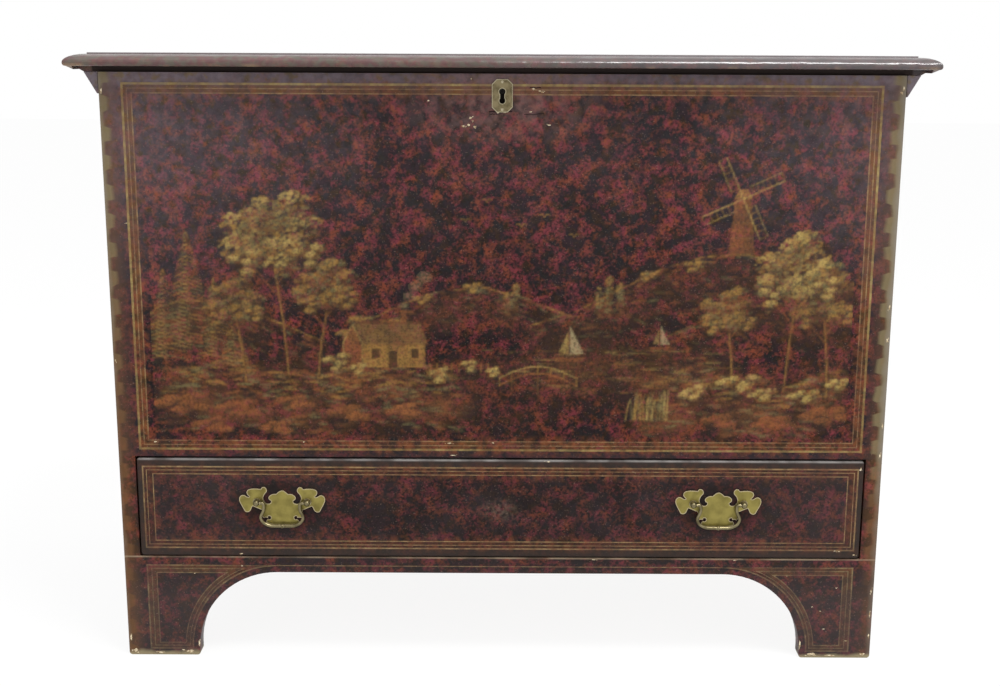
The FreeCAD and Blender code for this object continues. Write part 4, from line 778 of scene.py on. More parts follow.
varnish(tree, lay_ground(tree, BATTEN_BLOOM, 0.0), shine=0.3)
finish(batten_paint, "left_lid_batten", "right_lid_batten")

# %% [markdown]
# ## Softened edges
#
# Planed edges never stay sharp: use rounds them, and the round catches the light. The CAD boards
# keep square edges, because such small rounds would make the solids heavy. A bevel of about a
# millimetre is added on top of them here, where it can be changed without a new model.

# %% Bevelled edges
EDGE_ROUNDS_MM = {
    "front_panel": 1.6, "front_apron": 1.2, "left_side": 1.2, "right_side": 1.2, "lid_board": 1.4,
    "left_lid_batten": 1.0, "right_lid_batten": 1.0, "left_handle_plate": 0.9, "right_handle_plate": 0.9,
    "keyhole_escutcheon": 0.8,
}
WELD_MM = 0.01
SHARP_FROM = math.radians(40)
for name, width in EDGE_ROUNDS_MM.items():
    weld = nodes[name].modifiers.new("weld", "WELD")
    weld.merge_threshold = WELD_MM * MM
    bevel = nodes[name].modifiers.new("worn_edge", "BEVEL")
    bevel.width = width * MM
    bevel.segments = 3
    bevel.limit_method = "ANGLE"
    bevel.angle_limit = SHARP_FROM
    bevel.harden_normals = True
print("softened", len(EDGE_ROUNDS_MM))

# %% [markdown]
# ## Gold lines
#
# The liner drew gold-size lines with a long-haired brush and a straightedge, then laid a brown
# glaze between them. The lines could be drawn by the ground's own material, but as strips they
# keep a crisp edge and an even width. Each one is thin and closed and stands a little proud, as
# paint does. Its colour falls back to the ground where it has worn away.

# %% Strips of paint
STRIP_ROOT_MM = 0.3
LEAST_MITRE = 0.3


def paint_strips(name, strips, lift_mm, material, body):
    """One piece of closed flat strips on the front; a strip is two rows of points and whether it closes."""
    front = FRONT - lift_mm
    back = FRONT + STRIP_ROOT_MM
    points = []
    faces = []
    for outer, inner, closed in strips:
        base = len(points)
        for (ox, oz), (ix, iz) in zip(outer, inner):
            points += [(ox, front, oz), (ix, front, iz), (ox, back, oz), (ix, back, iz)]
        count = len(outer)
        for i in range(count if closed else count - 1):
            a = base + 4 * i
            b = base + 4 * ((i + 1) % count)
            faces += [(a, a + 1, b + 1, b), (a + 2, b + 2, b + 3, a + 3), (a, b, b + 2, a + 2),
                      (a + 1, a + 3, b + 3, b + 1)]
        if not closed:
            last = base + 4 * (count - 1)
            faces += [(base, base + 2, base + 3, base + 1), (last, last + 1, last + 3, last + 2)]
    return add_piece(name, points, faces, material, body)


def add_piece(name, points_mm, faces, material, body):
    """A closed mesh piece from points in millimetres, riding with a body of the chest."""
    mesh = bpy.data.meshes.new(name)
    mesh.from_pydata([(x * MM, y * MM, z * MM) for x, y, z in points_mm], [], faces)
    shell = bmesh.new()
    shell.from_mesh(mesh)
    bmesh.ops.recalc_face_normals(shell, faces=shell.faces)
    shell.to_mesh(mesh)
    shell.free()
    mesh.materials.append(material)
    piece = bpy.data.objects.new(name, mesh)
    bpy.context.collection.objects.link(piece)
    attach(piece, body)
    print(name, len(mesh.polygons), "faces")
    return piece


def frame_path(box, gap=0.0):
    """Points around a box of half width, low and high edge, open by a gap at the middle of its top."""
    half, low, high = box
    sides = [(half, high), (half, low), (-half, low), (-half, high)]
    return [(gap, high)] + sides + [(-gap, high)] if gap else sides


def line_strip(points, width, closed):
    """Strip of even width along a row of points, mitred at the turns."""
    rows = np.array(points, float)
    ahead = np.roll(rows, -1, axis=0) - rows
    if not closed:
        ahead[-1] = ahead[-2]
    ahead /= np.linalg.norm(ahead, axis=1)[:, None]
    behind = np.roll(ahead, 1, axis=0)
    if not closed:
        behind[0] = ahead[0]
    normal = np.stack([-(ahead + behind)[:, 1], (ahead + behind)[:, 0]], axis=1)
    normal /= np.linalg.norm(normal, axis=1)[:, None]
    square = np.stack([-ahead[:, 1], ahead[:, 0]], axis=1)
    reach = normal * (width / 2 / np.clip((normal * square).sum(1), LEAST_MITRE, 1))[:, None]
    return (rows + reach).tolist(), (rows - reach).tolist(), closed


print("strips rooted", STRIP_ROOT_MM, "mm deep")

# %% Gilding and glaze
GOLD_LINE = linear("#968452")
GOLD_DIM = linear("#7f673e")
THIN_GOLD = linear("#8d7550")
THIN_DIM = linear("#76583f")
GLAZE_BROWN = linear("#674621")
GLAZE_DIM = linear("#523924")
DRAWER_GOLD = linear("#8a7350")
DRAWER_DIM = linear("#70543c")
DRAWER_GLAZE = linear("#3d2616")
DRAWER_GLAZE_DIM = linear("#33201a")
FOOT_GOLD = linear("#887450")
FOOT_DIM = linear("#715640")
TARNISH_MM = 40.0
RUBBED_GOLD_MM = 7.0
GOLD_BLOOM_AND_GLARE = 0.3 * CORNER_BLOOM_AND_GLARE
WORN_FOOT_Z = (panel_low.z, panel_low.z + 280)


def gilding(name, ground, bright, dim, shares, foot=1):
    """Bronze powder or glaze with the shares of its least and most cover, and what is left at the foot."""
    material, tree = new_material(name)
    mm, axis = place_mm(tree)
    tarnish = node(tree, "TexNoise", {"Vector": mm, "Scale": 1 / TARNISH_MM, "Detail": 3})
    rubbed = node(tree, "TexNoise", {"Vector": mm, "Scale": 1 / RUBBED_GOLD_MM, "Detail": 4})
    dulled = node(tree, "MapRange", [tarnish, 0.35, 0.65, 0, 1])
    gold = node(tree, "Mix", {0: dulled, 6: bright, 7: dim}, 2, data_type="RGBA")
    gold = bloom_and_glare(tree, mm, axis, gold, CASE_BLOOM, GOLD_BLOOM_AND_GLARE)
    kept = node(tree, "MapRange", [rubbed, 0.58, 0.36, *shares])
    if foot < 1:
        worn = node(tree, "MapRange", [axis[2], *WORN_FOOT_Z, foot, 1])
        kept = node(tree, "Math", [kept, worn], operation="MULTIPLY")
    varnish(tree, node(tree, "Mix", {0: kept, 6: ground(tree), 7: gold}, 2, data_type="RGBA"))
    print(name)
    return material


# Bronze powder in oil size is flat and brown-gold: it has its colour from any side and no mirror gleam.
panel_gold = gilding("gold_size_lines_panel", panel_ground, GOLD_LINE, GOLD_DIM, (0.5, 0.95), foot=0.7)
panel_thin = gilding("thin_gold_lines_panel", panel_ground, THIN_GOLD, THIN_DIM, (0.35, 0.85), foot=0.7)
panel_glaze = gilding("brown_glaze_panel", panel_ground, GLAZE_BROWN, GLAZE_DIM, (0.35, 0.75), foot=0.45)
drawer_gold = gilding("gold_size_lines_drawer", drawer_ground, DRAWER_GOLD, DRAWER_DIM, (0.4, 0.85))
drawer_glaze = gilding("brown_glaze_drawer", drawer_ground, DRAWER_GLAZE, DRAWER_GLAZE_DIM, (0.3, 0.65))
foot_gold = gilding("gold_size_lines_apron", case_ground, FOOT_GOLD, FOOT_DIM, (0.4, 0.85))
foot_glaze = gilding("brown_glaze_apron", case_ground, GLAZE_BROWN, GLAZE_DIM, (0.3, 0.65))

# %% Lines of the panel and the drawer
LINE_LIFT_MM = 0.16
GLAZE_LIFT_MM = 0.06
PANEL_BOX = (HALF_CASE - 27.5, panel_low.z + 10, panel_high.z - 13.3)  # half width, low and high edge
DRAWER_BOX = (drawer_high.x - 7.5, drawer_low.z + 11, drawer_high.z - 11)
LOCK_GAP_MM = key_high.x - 3  # the lines stop under the keyhole plate
PANEL_WIDTHS_MM = (2.8, 1.4, 1.6)  # outer, middle and inner line
DRAWER_WIDTHS_MM = (1.9, 1.1, 1.3)


def shrunk(box, side, rise):
    """A box set in at its ends by side and at its low and high edge by rise."""
    half, low, high = box
    return half - side, low + rise, high - rise


panel_outer = frame_path(PANEL_BOX, LOCK_GAP_MM)
panel_middle = frame_path(shrunk(PANEL_BOX, 5.5, 5.5), LOCK_GAP_MM)
panel_inner = frame_path(shrunk(PANEL_BOX, 11, 11), LOCK_GAP_MM)
panel_lines = [line_strip(path, width, False)
               for path, width in zip((panel_outer, panel_middle, panel_inner), PANEL_WIDTHS_MM)]
paint_strips("panel_glaze_band", [(panel_outer, panel_inner, False)], GLAZE_LIFT_MM, panel_glaze, "carcase")
paint_strips("panel_gold_line", panel_lines[:1], LINE_LIFT_MM, panel_gold, "carcase")
paint_strips("panel_thin_lines", panel_lines[1:], LINE_LIFT_MM, panel_thin, "carcase")
drawer_outer = frame_path(DRAWER_BOX)
drawer_middle = frame_path(shrunk(DRAWER_BOX, 4.5, 4.5))
drawer_inner = frame_path(shrunk(DRAWER_BOX, 12.5, 9.5))
drawer_lines = [line_strip(path, width, True)
                for path, width in zip((drawer_outer, drawer_middle, drawer_inner), DRAWER_WIDTHS_MM)]
paint_strips("drawer_glaze_band", [(drawer_outer, drawer_inner, True)], GLAZE_LIFT_MM, drawer_glaze, "drawer")
paint_strips("drawer_gold_lines", drawer_lines, LINE_LIFT_MM, drawer_gold, "drawer")

# %% Lines of the bracket feet
BRACKET_X = 285.0  # middle of the round cut inside the right foot
BRACKET_Z = 11.0
BRACKET_RADIUS = 103.0
RAIL_DROP_MM = 12
RAIL_WIDTH_MM = 1.3
FOOT_WIDTHS_MM = (1.9, 1.1, 1.4)  # outer, middle and inner line


def foot_loop(side, top, curve, bottom, steps=28):
    """Closed line inside the right foot, at given distances from its edges."""
    radius = BRACKET_RADIUS + curve
    ceiling = apron_high.z - top
    first = math.asin(min((ceiling - BRACKET_Z) / radius, 1))
    last = math.asin(max((bottom - BRACKET_Z) / radius, -1))
    arc = [(BRACKET_X + radius * math.cos(a), BRACKET_Z + radius * math.sin(a))
           for a in (first + (last - first) * i / steps for i in range(steps + 1))]
    outer = HALF_CASE - side
    return arc + [(outer, bottom), (outer, ceiling)]


def mirrored(points):
    """The same row of points on the left foot."""
    return [(-x, z) for x, z in points]


outer_loop = foot_loop(side=28.5, top=RAIL_DROP_MM, curve=9, bottom=9)
middle_loop = foot_loop(side=34.2, top=16.5, curve=13, bottom=13)
inner_loop = foot_loop(side=40.5, top=22, curve=18, bottom=17)
rail_line = [(x, apron_high.z - RAIL_DROP_MM) for x in (-BRACKET_X, BRACKET_X)]
foot_bands = [(outer_loop, inner_loop, True), (mirrored(outer_loop), mirrored(inner_loop), True)]
foot_lines = []
for loop, width in zip((outer_loop, middle_loop, inner_loop), FOOT_WIDTHS_MM):
    foot_lines += [line_strip(loop, width, True), line_strip(mirrored(loop), width, True)]
foot_lines.append(line_strip(rail_line, RAIL_WIDTH_MM, False))
paint_strips("apron_glaze_band", foot_bands, GLAZE_LIFT_MM, foot_glaze, "carcase")
paint_strips("apron_gold_lines", foot_lines, LINE_LIFT_MM, foot_gold, "carcase")

# %% [markdown]
# ## The gilt landscape
#
# Decorators of such chests painted a landscape in bronze powders and thin brown glazes. This
# one is a generic view of a lake with a cottage, boats and a windmill. It could be an image on the
# panel, but painted here it needs no file, and it is made as a painter would: washes first, then
# hills, then trees leaf by leaf with short dabs of a seeded brush. The finished canvas becomes a
# thin skin of paint, with small faces that store its colour and cover.

# %% Canvas, with a pixel for each millimetre of the panel
PAINT_LEFT = -434
PAINT_BASE = 290
PAINT_WIDTH = 868
PAINT_HEIGHT = 384
pigment = np.zeros((PAINT_HEIGHT, PAINT_WIDTH, 3))
cover = np.zeros((PAINT_HEIGHT, PAINT_WIDTH))
brush = random.Random(7)
OCHRE = "#8f6c36"
GOLD = "#a68d50"
PALE = "#b8a77a"
OLIVE = "#6b6340"
UMBER = "#5f4026"
SIENNA = "#80502d"
SHADE = "#2c1f16"
EARTH = "#3a281c"


def window(low_x, high_x, low_z, high_z):
    """The part of the canvas inside a box of millimetres, with each pixel's place."""
    x0, x1 = (min(max(int(v) - PAINT_LEFT, 0), PAINT_WIDTH) for v in (low_x - 2, high_x + 3))
    z0, z1 = (min(max(int(v) - PAINT_BASE, 0), PAINT_HEIGHT) for v in (low_z - 2, high_z + 3))
    rows, columns = np.mgrid[z0:z1, x0:x1]
    return (slice(z0, z1), slice(x0, x1)), columns + PAINT_LEFT + 0.5, rows + PAINT_BASE + 0.5


def stain(area, amount, code):
    """Lays a colour over part of the canvas."""
    amount = np.clip(amount, 0, 1)
    pigment[area] = pigment[area] * (1 - amount[..., None]) + np.array(linear(code)[:3]) * amount[..., None]
    cover[area] = cover[area] * (1 - amount) + amount


print("canvas", PAINT_WIDTH, "by", PAINT_HEIGHT, "mm")

# %% Brushes
DAB_EDGE = 1.15
DAB_BLUR = 0.45
WASH_END = 0.02
LINE_BLUR_MM = 0.6


def dab(x, z, length, width, turn, code, strength):
    """One touch of a round brush, drawn out along a turn."""
    reach = max(length, width)
    area, xs, zs = window(x - reach, x + reach, z - reach, z + reach)
    along = (xs - x) * math.cos(turn) + (zs - z) * math.sin(turn)
    across = (zs - z) * math.cos(turn) - (xs - x) * math.sin(turn)
    edge = (DAB_EDGE - np.hypot(along / length, across / width)) / DAB_BLUR
    stain(area, strength * np.clip(edge, 0, 1), code)


def wash(x, z, wide, tall, code, strength):
    """Soft oval of thin paint that fades away from its middle."""
    area, xs, zs = window(x - 2 * wide, x + 2 * wide, z - 2 * tall, z + 2 * tall)
    stain(area, strength * (np.exp(-((xs - x) / wide) ** 2 - ((zs - z) / tall) ** 2) - WASH_END), code)


def span(points, margin):
    """The part of the canvas around a row of points."""
    xs, zs = zip(*points)
    return window(min(xs) - margin, max(xs) + margin, min(zs) - margin, max(zs) + margin)


def line(points, width, code, strength):
    """Thin stroke along a row of points."""
    area, xs, zs = span(points, width)
    nearest = np.full(xs.shape, np.inf)
    for (ax, az), (bx, bz) in zip(points, points[1:]):
        square = max((bx - ax) ** 2 + (bz - az) ** 2, 1e-6)
        share = np.clip(((xs - ax) * (bx - ax) + (zs - az) * (bz - az)) / square, 0, 1)
        nearest = np.minimum(nearest, np.hypot(xs - ax - share * (bx - ax), zs - az - share * (bz - az)))
    stain(area, strength * np.clip(width / 2 + LINE_BLUR_MM - nearest, 0, 1), code)


def shape(points, code, strength):
    """Flat patch inside a closed row of points."""
    area, xs, zs = span(points, 0)
    inside = np.zeros(xs.shape, bool)
    for (ax, az), (bx, bz) in zip(points, points[1:] + points[:1]):
        if az != bz:
            inside ^= ((az > zs) != (bz > zs)) & (xs < ax + (zs - az) * (bx - ax) / (bz - az))
    stain(area, strength * inside, code)


print("brushes", [tool.__name__ for tool in (dab, wash, line, shape)])

# %% Trees
LEAVES = (UMBER, OLIVE, OCHRE, GOLD)
DIM_LEAVES = (EARTH, UMBER, OLIVE, OCHRE)


def foliage(x, z, wide, tall, count, codes, strength):
    """Leaf dabs spread over an oval, palest towards its top left."""
    for _ in range(count):
        angle = brush.uniform(0, math.tau)
        reach = math.sqrt(brush.random())
        dx = reach * math.cos(angle)
        dz = reach * math.sin(angle)
        light = min(max(0.5 + 0.35 * (dz - 0.5 * dx) + brush.uniform(-0.3, 0.3), 0), 0.999)
        size = brush.uniform(1.8, 4.2)
        dab(x + dx * wide, z + dz * tall, size, size * 0.6, brush.uniform(-0.6, 0.9),
            codes[int(light * len(codes))], strength * brush.uniform(0.5, 1))


def crown(x, z, wide, tall, masses, codes, strength):
    """Leaf masses spread evenly over a dark wash, each with its own shade and touches of light."""
    wash(x, z - 0.1 * tall, wide * 0.85, tall * 0.8, EARTH, 0.8 * strength)
    for i in range(masses):
        angle = 2.4 * i + brush.uniform(-0.3, 0.3)
        reach = math.sqrt((i + 0.5) / masses) * 0.8
        mass_x = x + reach * wide * math.cos(angle)
        mass_z = z + reach * tall * math.sin(angle)
        wash(mass_x + wide * 0.08, mass_z - tall * 0.14, wide * 0.26, tall * 0.2, EARTH, 0.6 * strength)
        foliage(mass_x, mass_z, wide * 0.34, tall * 0.28, int(16 + wide), codes, strength)
        foliage(mass_x - wide * 0.08, mass_z + tall * 0.1, wide * 0.18, tall * 0.13, int(3 + wide / 6),
                codes[-1:], strength)


def leafy_tree(x, z, height, lean, codes, strength):
    """Leafy tree: a leaning trunk, forked branches and a crown."""
    top = (x + lean, z + height * 0.62)
    bend = (x + lean * 0.35, z + height * 0.3)
    line([(x, z), bend, top], 3.2, UMBER, 0.9)
    line([(x - 0.8, z), (bend[0] - 0.8, bend[1]), (top[0] - 0.8, top[1])], 1.2, OCHRE, 0.8)
    for share, side in ((0.42, -1), (0.5, 1), (0.58, -1)):
        start = (x + lean * share * 1.4, z + height * share)
        line([start, (start[0] + side * height * 0.1, start[1] + height * 0.12),
              (start[0] + side * height * 0.17, start[1] + height * 0.2)], 1.4, SIENNA, 0.8)
    crown(top[0], z + height * 0.76, height * 0.27, height * 0.24, 13, codes, strength)
    crown(top[0] - height * 0.16, z + height * 0.6, height * 0.12, height * 0.08, 4, codes, strength * 0.9)
    crown(top[0] + height * 0.17, z + height * 0.64, height * 0.11, height * 0.08, 4, codes, strength * 0.9)


def fir(x, z, height, strength):
    """Fir: a stem with drooping rows of needles that widen downwards."""
    wash(x, z + height * 0.4, height * 0.13, height * 0.34, UMBER, 0.4)
    line([(x, z), (x, z + height)], 1.4, UMBER, strength)
    tiers = int(height / 5.5)
    for i in range(tiers):
        share = (i + 0.5) / tiers
        half = height * 0.2 * (1.08 - share)
        level = z + height * (0.14 + 0.86 * share)
        for side in (-1, 1):
            line([(x, level + 2), (x + side * half * 0.6, level - 1), (x + side * half, level - 4)], 1.8,
                 brush.choice((OLIVE, OCHRE, UMBER)), strength * brush.uniform(0.6, 1))
        dab(x - half * 0.3, level + 1, half * 0.4, 1.0, -0.3, GOLD, strength * 0.6)


print("leaf colours", LEAVES)


# %% Hills and banks
def hill(points, depth, code, strength):
    """Rounded hill: washes and short hatching that fade below a ridge, then touches of light on it."""
    for (ax, az), (bx, bz) in zip(points, points[1:]):
        slope = math.atan2(bz - az, bx - ax)
        for _ in range(int((bx - ax) / 12) + 1):
            share = brush.random()
            wash(ax + share * (bx - ax), az + share * (bz - az) - depth * brush.uniform(0.2, 0.7),
                 24, depth * 0.3, EARTH, strength * 0.5)
        for _ in range(int((bx - ax) * 1.1)):
            share = brush.random()
            drop = brush.random() ** 1.5
            dab(ax + share * (bx - ax), az + share * (bz - az) - drop * depth, brush.uniform(3, 9),
                brush.uniform(1.0, 2.4), slope * (1 - drop) - drop * brush.uniform(0.2, 1.2),
                brush.choice((code, SIENNA, OLIVE, EARTH, EARTH)),
                strength * (1.1 - drop * 0.8) * brush.uniform(0.5, 1))
        for _ in range(int((bx - ax) / 7)):
            share = brush.random()
            dab(ax + share * (bx - ax), az + share * (bz - az) - 1, brush.uniform(5, 10), 1.3, slope, OCHRE,
                strength * brush.uniform(0.3, 0.9))


def bank(low_x, high_x, top, bottom, count):
    """Grassy ground: washes, then strokes that lean with the slope and are palest along the top."""
    for _ in range(count // 9):
        wash(brush.uniform(low_x + 20, high_x - 20), brush.uniform(bottom + 8, top), brush.uniform(14, 34),
             brush.uniform(6, 12), brush.choice((EARTH, EARTH, UMBER, SIENNA)), brush.uniform(0.15, 0.4))
    for _ in range(count):
        x = brush.uniform(low_x, high_x)
        share = brush.random() ** 1.4
        z = top + 9 * math.sin(x / 31) + 5 * math.sin(x / 13 + 2) - share * (top - bottom)
        fade = min((x - low_x) / 40, (high_x - x) / 40, 1)
        codes = (UMBER, SIENNA, OLIVE, OCHRE) if share < 0.4 else (UMBER, SIENNA, UMBER, OLIVE)
        dab(x, z, brush.uniform(5, 13), brush.uniform(1.2, 2.6), brush.uniform(-0.35, 0.25),
            brush.choice(codes), 0.7 * fade * brush.uniform(0.4, 1))


print("ground colours", (EARTH, UMBER, SIENNA, OLIVE))


# %% Cottage and windmill
def cottage(x, z, wide, tall, strength):
    """Gabled cottage with a thatched roof, a door, two windows and a chimney."""
    eave = z + tall * 0.5

    def box(left, right, low, high, code):
        """Upright patch between shares of the cottage's width and height."""
        shape([(x + wide * left, z + tall * low), (x + wide * right, z + tall * low),
               (x + wide * right, z + tall * high), (x + wide * left, z + tall * high)], code, strength)

    gable = [(x - wide * 0.3, z), (x, z), (x, eave), (x - wide * 0.15, z + tall * 0.88),
             (x - wide * 0.3, eave)]
    box(0, 1, 0, 0.5, OCHRE)
    shape(gable, SIENNA, strength)
    shape([(x - wide * 0.02, eave - 2), (x + wide * 1.05, eave - 2), (x + wide * 0.92, z + tall * 0.95),
           (x - wide * 0.13, z + tall * 0.95)], UMBER, strength)
    for i in range(9):
        level = eave + (tall * 0.45 - 2) * i / 9
        line([(x - wide * 0.012 * i, level), (x + wide * (1.03 - 0.012 * i), level)], 0.9, GOLD,
             strength * 0.5)
    box(0.62, 0.72, 0.9, 1.18, SIENNA)
    box(0.42, 0.56, 0, 0.34, SHADE)
    box(0.16, 0.28, 0.2, 0.38, SHADE)
    box(0.78, 0.90, 0.2, 0.38, SHADE)
    line(gable + gable[:1], 1.1, GOLD, strength * 0.9)


def windmill(x, z, tall, strength):
    """Tapering tower with a cap and four latticed sails."""
    hub = Vector((x, z + tall * 0.7))
    shape([(x - tall * 0.17, z), (x + tall * 0.17, z), (x + tall * 0.1, hub[1]), (x - tall * 0.1, hub[1])],
          SIENNA, strength)
    shape([(x + tall * 0.04, z), (x + tall * 0.17, z), (x + tall * 0.1, hub[1]), (x + tall * 0.02, hub[1])],
          UMBER, strength)
    for i in range(7):
        half = tall * (0.17 - 0.01 * i)
        line([(x - half, z + tall * 0.1 * i), (x + half, z + tall * 0.1 * i)], 0.8, OCHRE, strength * 0.6)
    shape([(x - tall * 0.12, hub[1]), (x + tall * 0.12, hub[1]), (x + tall * 0.06, z + tall * 0.82),
           (x - tall * 0.06, z + tall * 0.82)], OCHRE, strength)
    for i in range(4):
        turn = 0.42 + i * math.pi / 2
        out = Vector((math.cos(turn), math.sin(turn))) * tall
        side = Vector((-out[1], out[0])) * 0.11
        line([hub[:], (hub + out * 0.56)[:]], 1.3, GOLD, strength)
        line([(hub + out * 0.14 + side)[:], (hub + out * 0.56 + side)[:]], 0.9, GOLD, strength * 0.8)
        for share in (0.14, 0.22, 0.3, 0.38, 0.46, 0.56):
            line([(hub + out * share)[:], (hub + out * share + side)[:]], 0.8, OCHRE, strength * 0.8)


print("building colours", (SIENNA, OCHRE, UMBER, SHADE))


# %% Water, boats, bridge and fence
def boat(x, z, size, strength):
    """Small sailing boat with its reflection."""
    shape([(x - size * 0.5, z), (x + size * 0.5, z), (x + size * 0.36, z - size * 0.14),
           (x - size * 0.4, z - size * 0.14)], SIENNA, strength)
    line([(x, z), (x, z + size)], 1.0, UMBER, strength)
    shape([(x + 1, z + size * 0.08), (x + size * 0.44, z + size * 0.12), (x + 1, z + size * 0.96)], PALE,
          strength * 0.8)
    shape([(x - 1, z + size * 0.12), (x - size * 0.3, z + size * 0.14), (x - 1, z + size * 0.8)], GOLD,
          strength * 0.8)
    for i in range(5):
        level = z - size * (0.2 + 0.1 * i)
        line([(x - size * 0.3 + 2 * i, level), (x + size * 0.3 - 2 * i, level)], 0.9, OCHRE, strength * 0.4)


def water(low_x, high_x, low_z, high_z, count):
    """Level strokes of ripples spread over a box."""
    for _ in range(count):
        x = brush.uniform(low_x, high_x)
        z = brush.uniform(low_z, high_z)
        line([(x, z), (x + brush.uniform(8, 34), z + brush.uniform(-0.5, 0.5))], 0.9,
             brush.choice((OCHRE, UMBER, GOLD)), brush.uniform(0.15, 0.45))


def footbridge(x, z, length, strength):
    """Humped plank bridge with posts and a handrail."""
    deck = [(x + length * i / 12, z + length * 0.16 * math.sin(math.pi * i / 12)) for i in range(13)]
    line(deck, 2.4, SIENNA, strength)
    line([(a, b + 9) for a, b in deck], 1.1, GOLD, strength)
    for a, b in deck[::2]:
        line([(a, b - 1), (a, b + 10)], 1.1, OCHRE, strength)
    for a, b in deck[2:11:4]:
        line([(a, z - 12), (a, b)], 1.6, UMBER, strength)


def fence(x, z, length, strength):
    """Row of posts with two rails."""
    for i in range(int(length / 9) + 1):
        line([(x + 9 * i, z - 1), (x + 9 * i, z + 9 + brush.uniform(-1, 1))], 1.4, OCHRE, strength)
    for rise in (3, 7):
        line([(x, z + rise), (x + length, z + rise + 1)], 1.0, SIENNA, strength)


def reeds(x, z, wide, tall, count):
    """Leaning stalks from one foot line."""
    for _ in range(count):
        foot = x + brush.uniform(-wide, wide)
        lean = brush.uniform(-0.25, 0.25)
        height = tall * brush.uniform(0.5, 1)
        line([(foot, z), (foot + lean * height * 0.4, z + height * 0.6), (foot + lean * height, z + height)],
             1.0, brush.choice((OCHRE, OLIVE, GOLD)), brush.uniform(0.4, 0.8))


print("shore colours", (OCHRE, OLIVE, GOLD))

# %% Paint the far side: hills, windmill and lake
for x in range(-410, 421, 30):
    wash(x, brush.uniform(320, 390), 44, 34, EARTH, 0.25 if -130 < x < 190 else 0.5)
hill([(-172, 440), (-120, 466), (-70, 482), (-20, 486), (36, 470), (82, 452), (118, 446)], 56, UMBER, 0.5)
hill([(40, 440), (90, 456), (140, 482), (200, 512), (250, 526), (300, 528), (350, 518), (430, 488)], 96,
     UMBER, 0.56)
hill([(206, 426), (250, 448), (296, 462), (340, 468), (390, 458), (432, 440)], 60, SIENNA, 0.5)
hill([(-432, 452), (-400, 466), (-366, 470), (-320, 460), (-270, 440), (-220, 418)], 66, UMBER, 0.5)
windmill(292, 528, 96, 0.72)
FAR_TREES = ((352, 516, 26), (396, 504, 20), (236, 512, 17), (180, 500, 14), (-36, 484, 16), (-96, 470, 15))
for x, z, wide in FAR_TREES:
    crown(x, z, wide, wide * 0.42, 4, DIM_LEAVES, 0.6)
for x, z, height in ((120, 446, 40), (132, 448, 52), (146, 448, 44), (8, 446, 34), (18, 446, 44)):
    foliage(x, z + height / 2, 4.5, height / 2, int(height * 1.6), DIM_LEAVES, 0.6)
wash(120, 380, 150, 22, UMBER, 0.3)
water(-40, 300, 350, 408, 150)
boat(84, 398, 42, 0.7)
boat(196, 412, 28, 0.6)
print("far side covers", round(float((cover > 0.05).mean()), 3))

# %% Paint the near side: banks, trees, cottage and bridge
RUSSET_LEAVES = (UMBER, SIENNA, SIENNA)
bank(-432, -34, 384, 304, 600)
bank(166, 432, 374, 300, 460)
for x, z, height in ((-414, 376, 130), (-384, 384, 168), (-352, 380, 116), (-330, 372, 88)):
    fir(x, z, height, 0.62)
leafy_tree(-316, 366, 132, -10, DIM_LEAVES, 0.62)
leafy_tree(-262, 372, 236, -16, LEAVES, 0.72)
leafy_tree(-226, 372, 150, 14, DIM_LEAVES, 0.7)
crown(-150, 432, 60, 18, 8, DIM_LEAVES, 0.6)
cottage(-172, 384, 78, 62, 0.8)
for x, z, reach in ((-120, 462, 5), (-114, 474, 7), (-106, 486, 9), (-94, 498, 11)):
    wash(x, z, reach, reach * 0.7, PALE, 0.2)
fence(-88, 380, 74, 0.7)
for x, z, wide in ((-204, 390, 22), (-178, 382, 12), (-76, 374, 18), (-40, 386, 13), (-10, 378, 10)):
    crown(x, z, wide, wide * 0.6, 4, LEAVES, 0.68)
footbridge(-2, 362, 96, 0.78)
leafy_tree(288, 360, 128, -8, DIM_LEAVES, 0.62)
leafy_tree(406, 348, 162, -8, DIM_LEAVES, 0.66)
leafy_tree(352, 356, 200, 12, LEAVES, 0.72)
for x, z, wide in ((298, 366, 28), (242, 354, 21), (328, 352, 18), (380, 350, 20), (420, 366, 16)):
    crown(x, z, wide, wide * 0.52, 5, LEAVES, 0.7)
reeds(182, 318, 26, 40, 44)
NEAR_BUSHES = (
    (-398, 338, 36), (-326, 332, 30), (-258, 340, 24), (-190, 326, 26), (-120, 330, 22), (-360, 310, 26),
    (-280, 308, 22), (404, 326, 32), (340, 316, 26), (274, 318, 22),
)
for x, z, wide in NEAR_BUSHES:
    crown(x, z, wide, wide * 0.46, 6, RUSSET_LEAVES, 0.55)
for x, z in ((24, 560), (52, 572), (-18, 590), (88, 548), (-44, 566)):
    line([(x - 6, z + 3), (x - 2.5, z + 3.6), (x, z), (x + 2.5, z + 3.6), (x + 6, z + 3)], 1.0, OCHRE, 0.7)
print("painted share of the canvas", round(float((cover > 0.05).mean()), 3))

# %% The skin of paint
SKIN_PITCH_MM = 1.5
SKIN_EDGE_COVER = 0.1
SKIN_LEAST_MM = 0.05
SKIN_LIFT_MM = 0.16
SKIN_ROOT_MM = 0.2
FRONT_SHARE = 0.96
HIDDEN_FROM = 0.98


def softened(canvas):
    """The canvas with each pixel shared among its neighbours, so that no edge is stepped."""
    for axis in (0, 1):
        canvas = canvas / 2 + (np.roll(canvas, 1, axis) + np.roll(canvas, -1, axis)) / 4
    return canvas


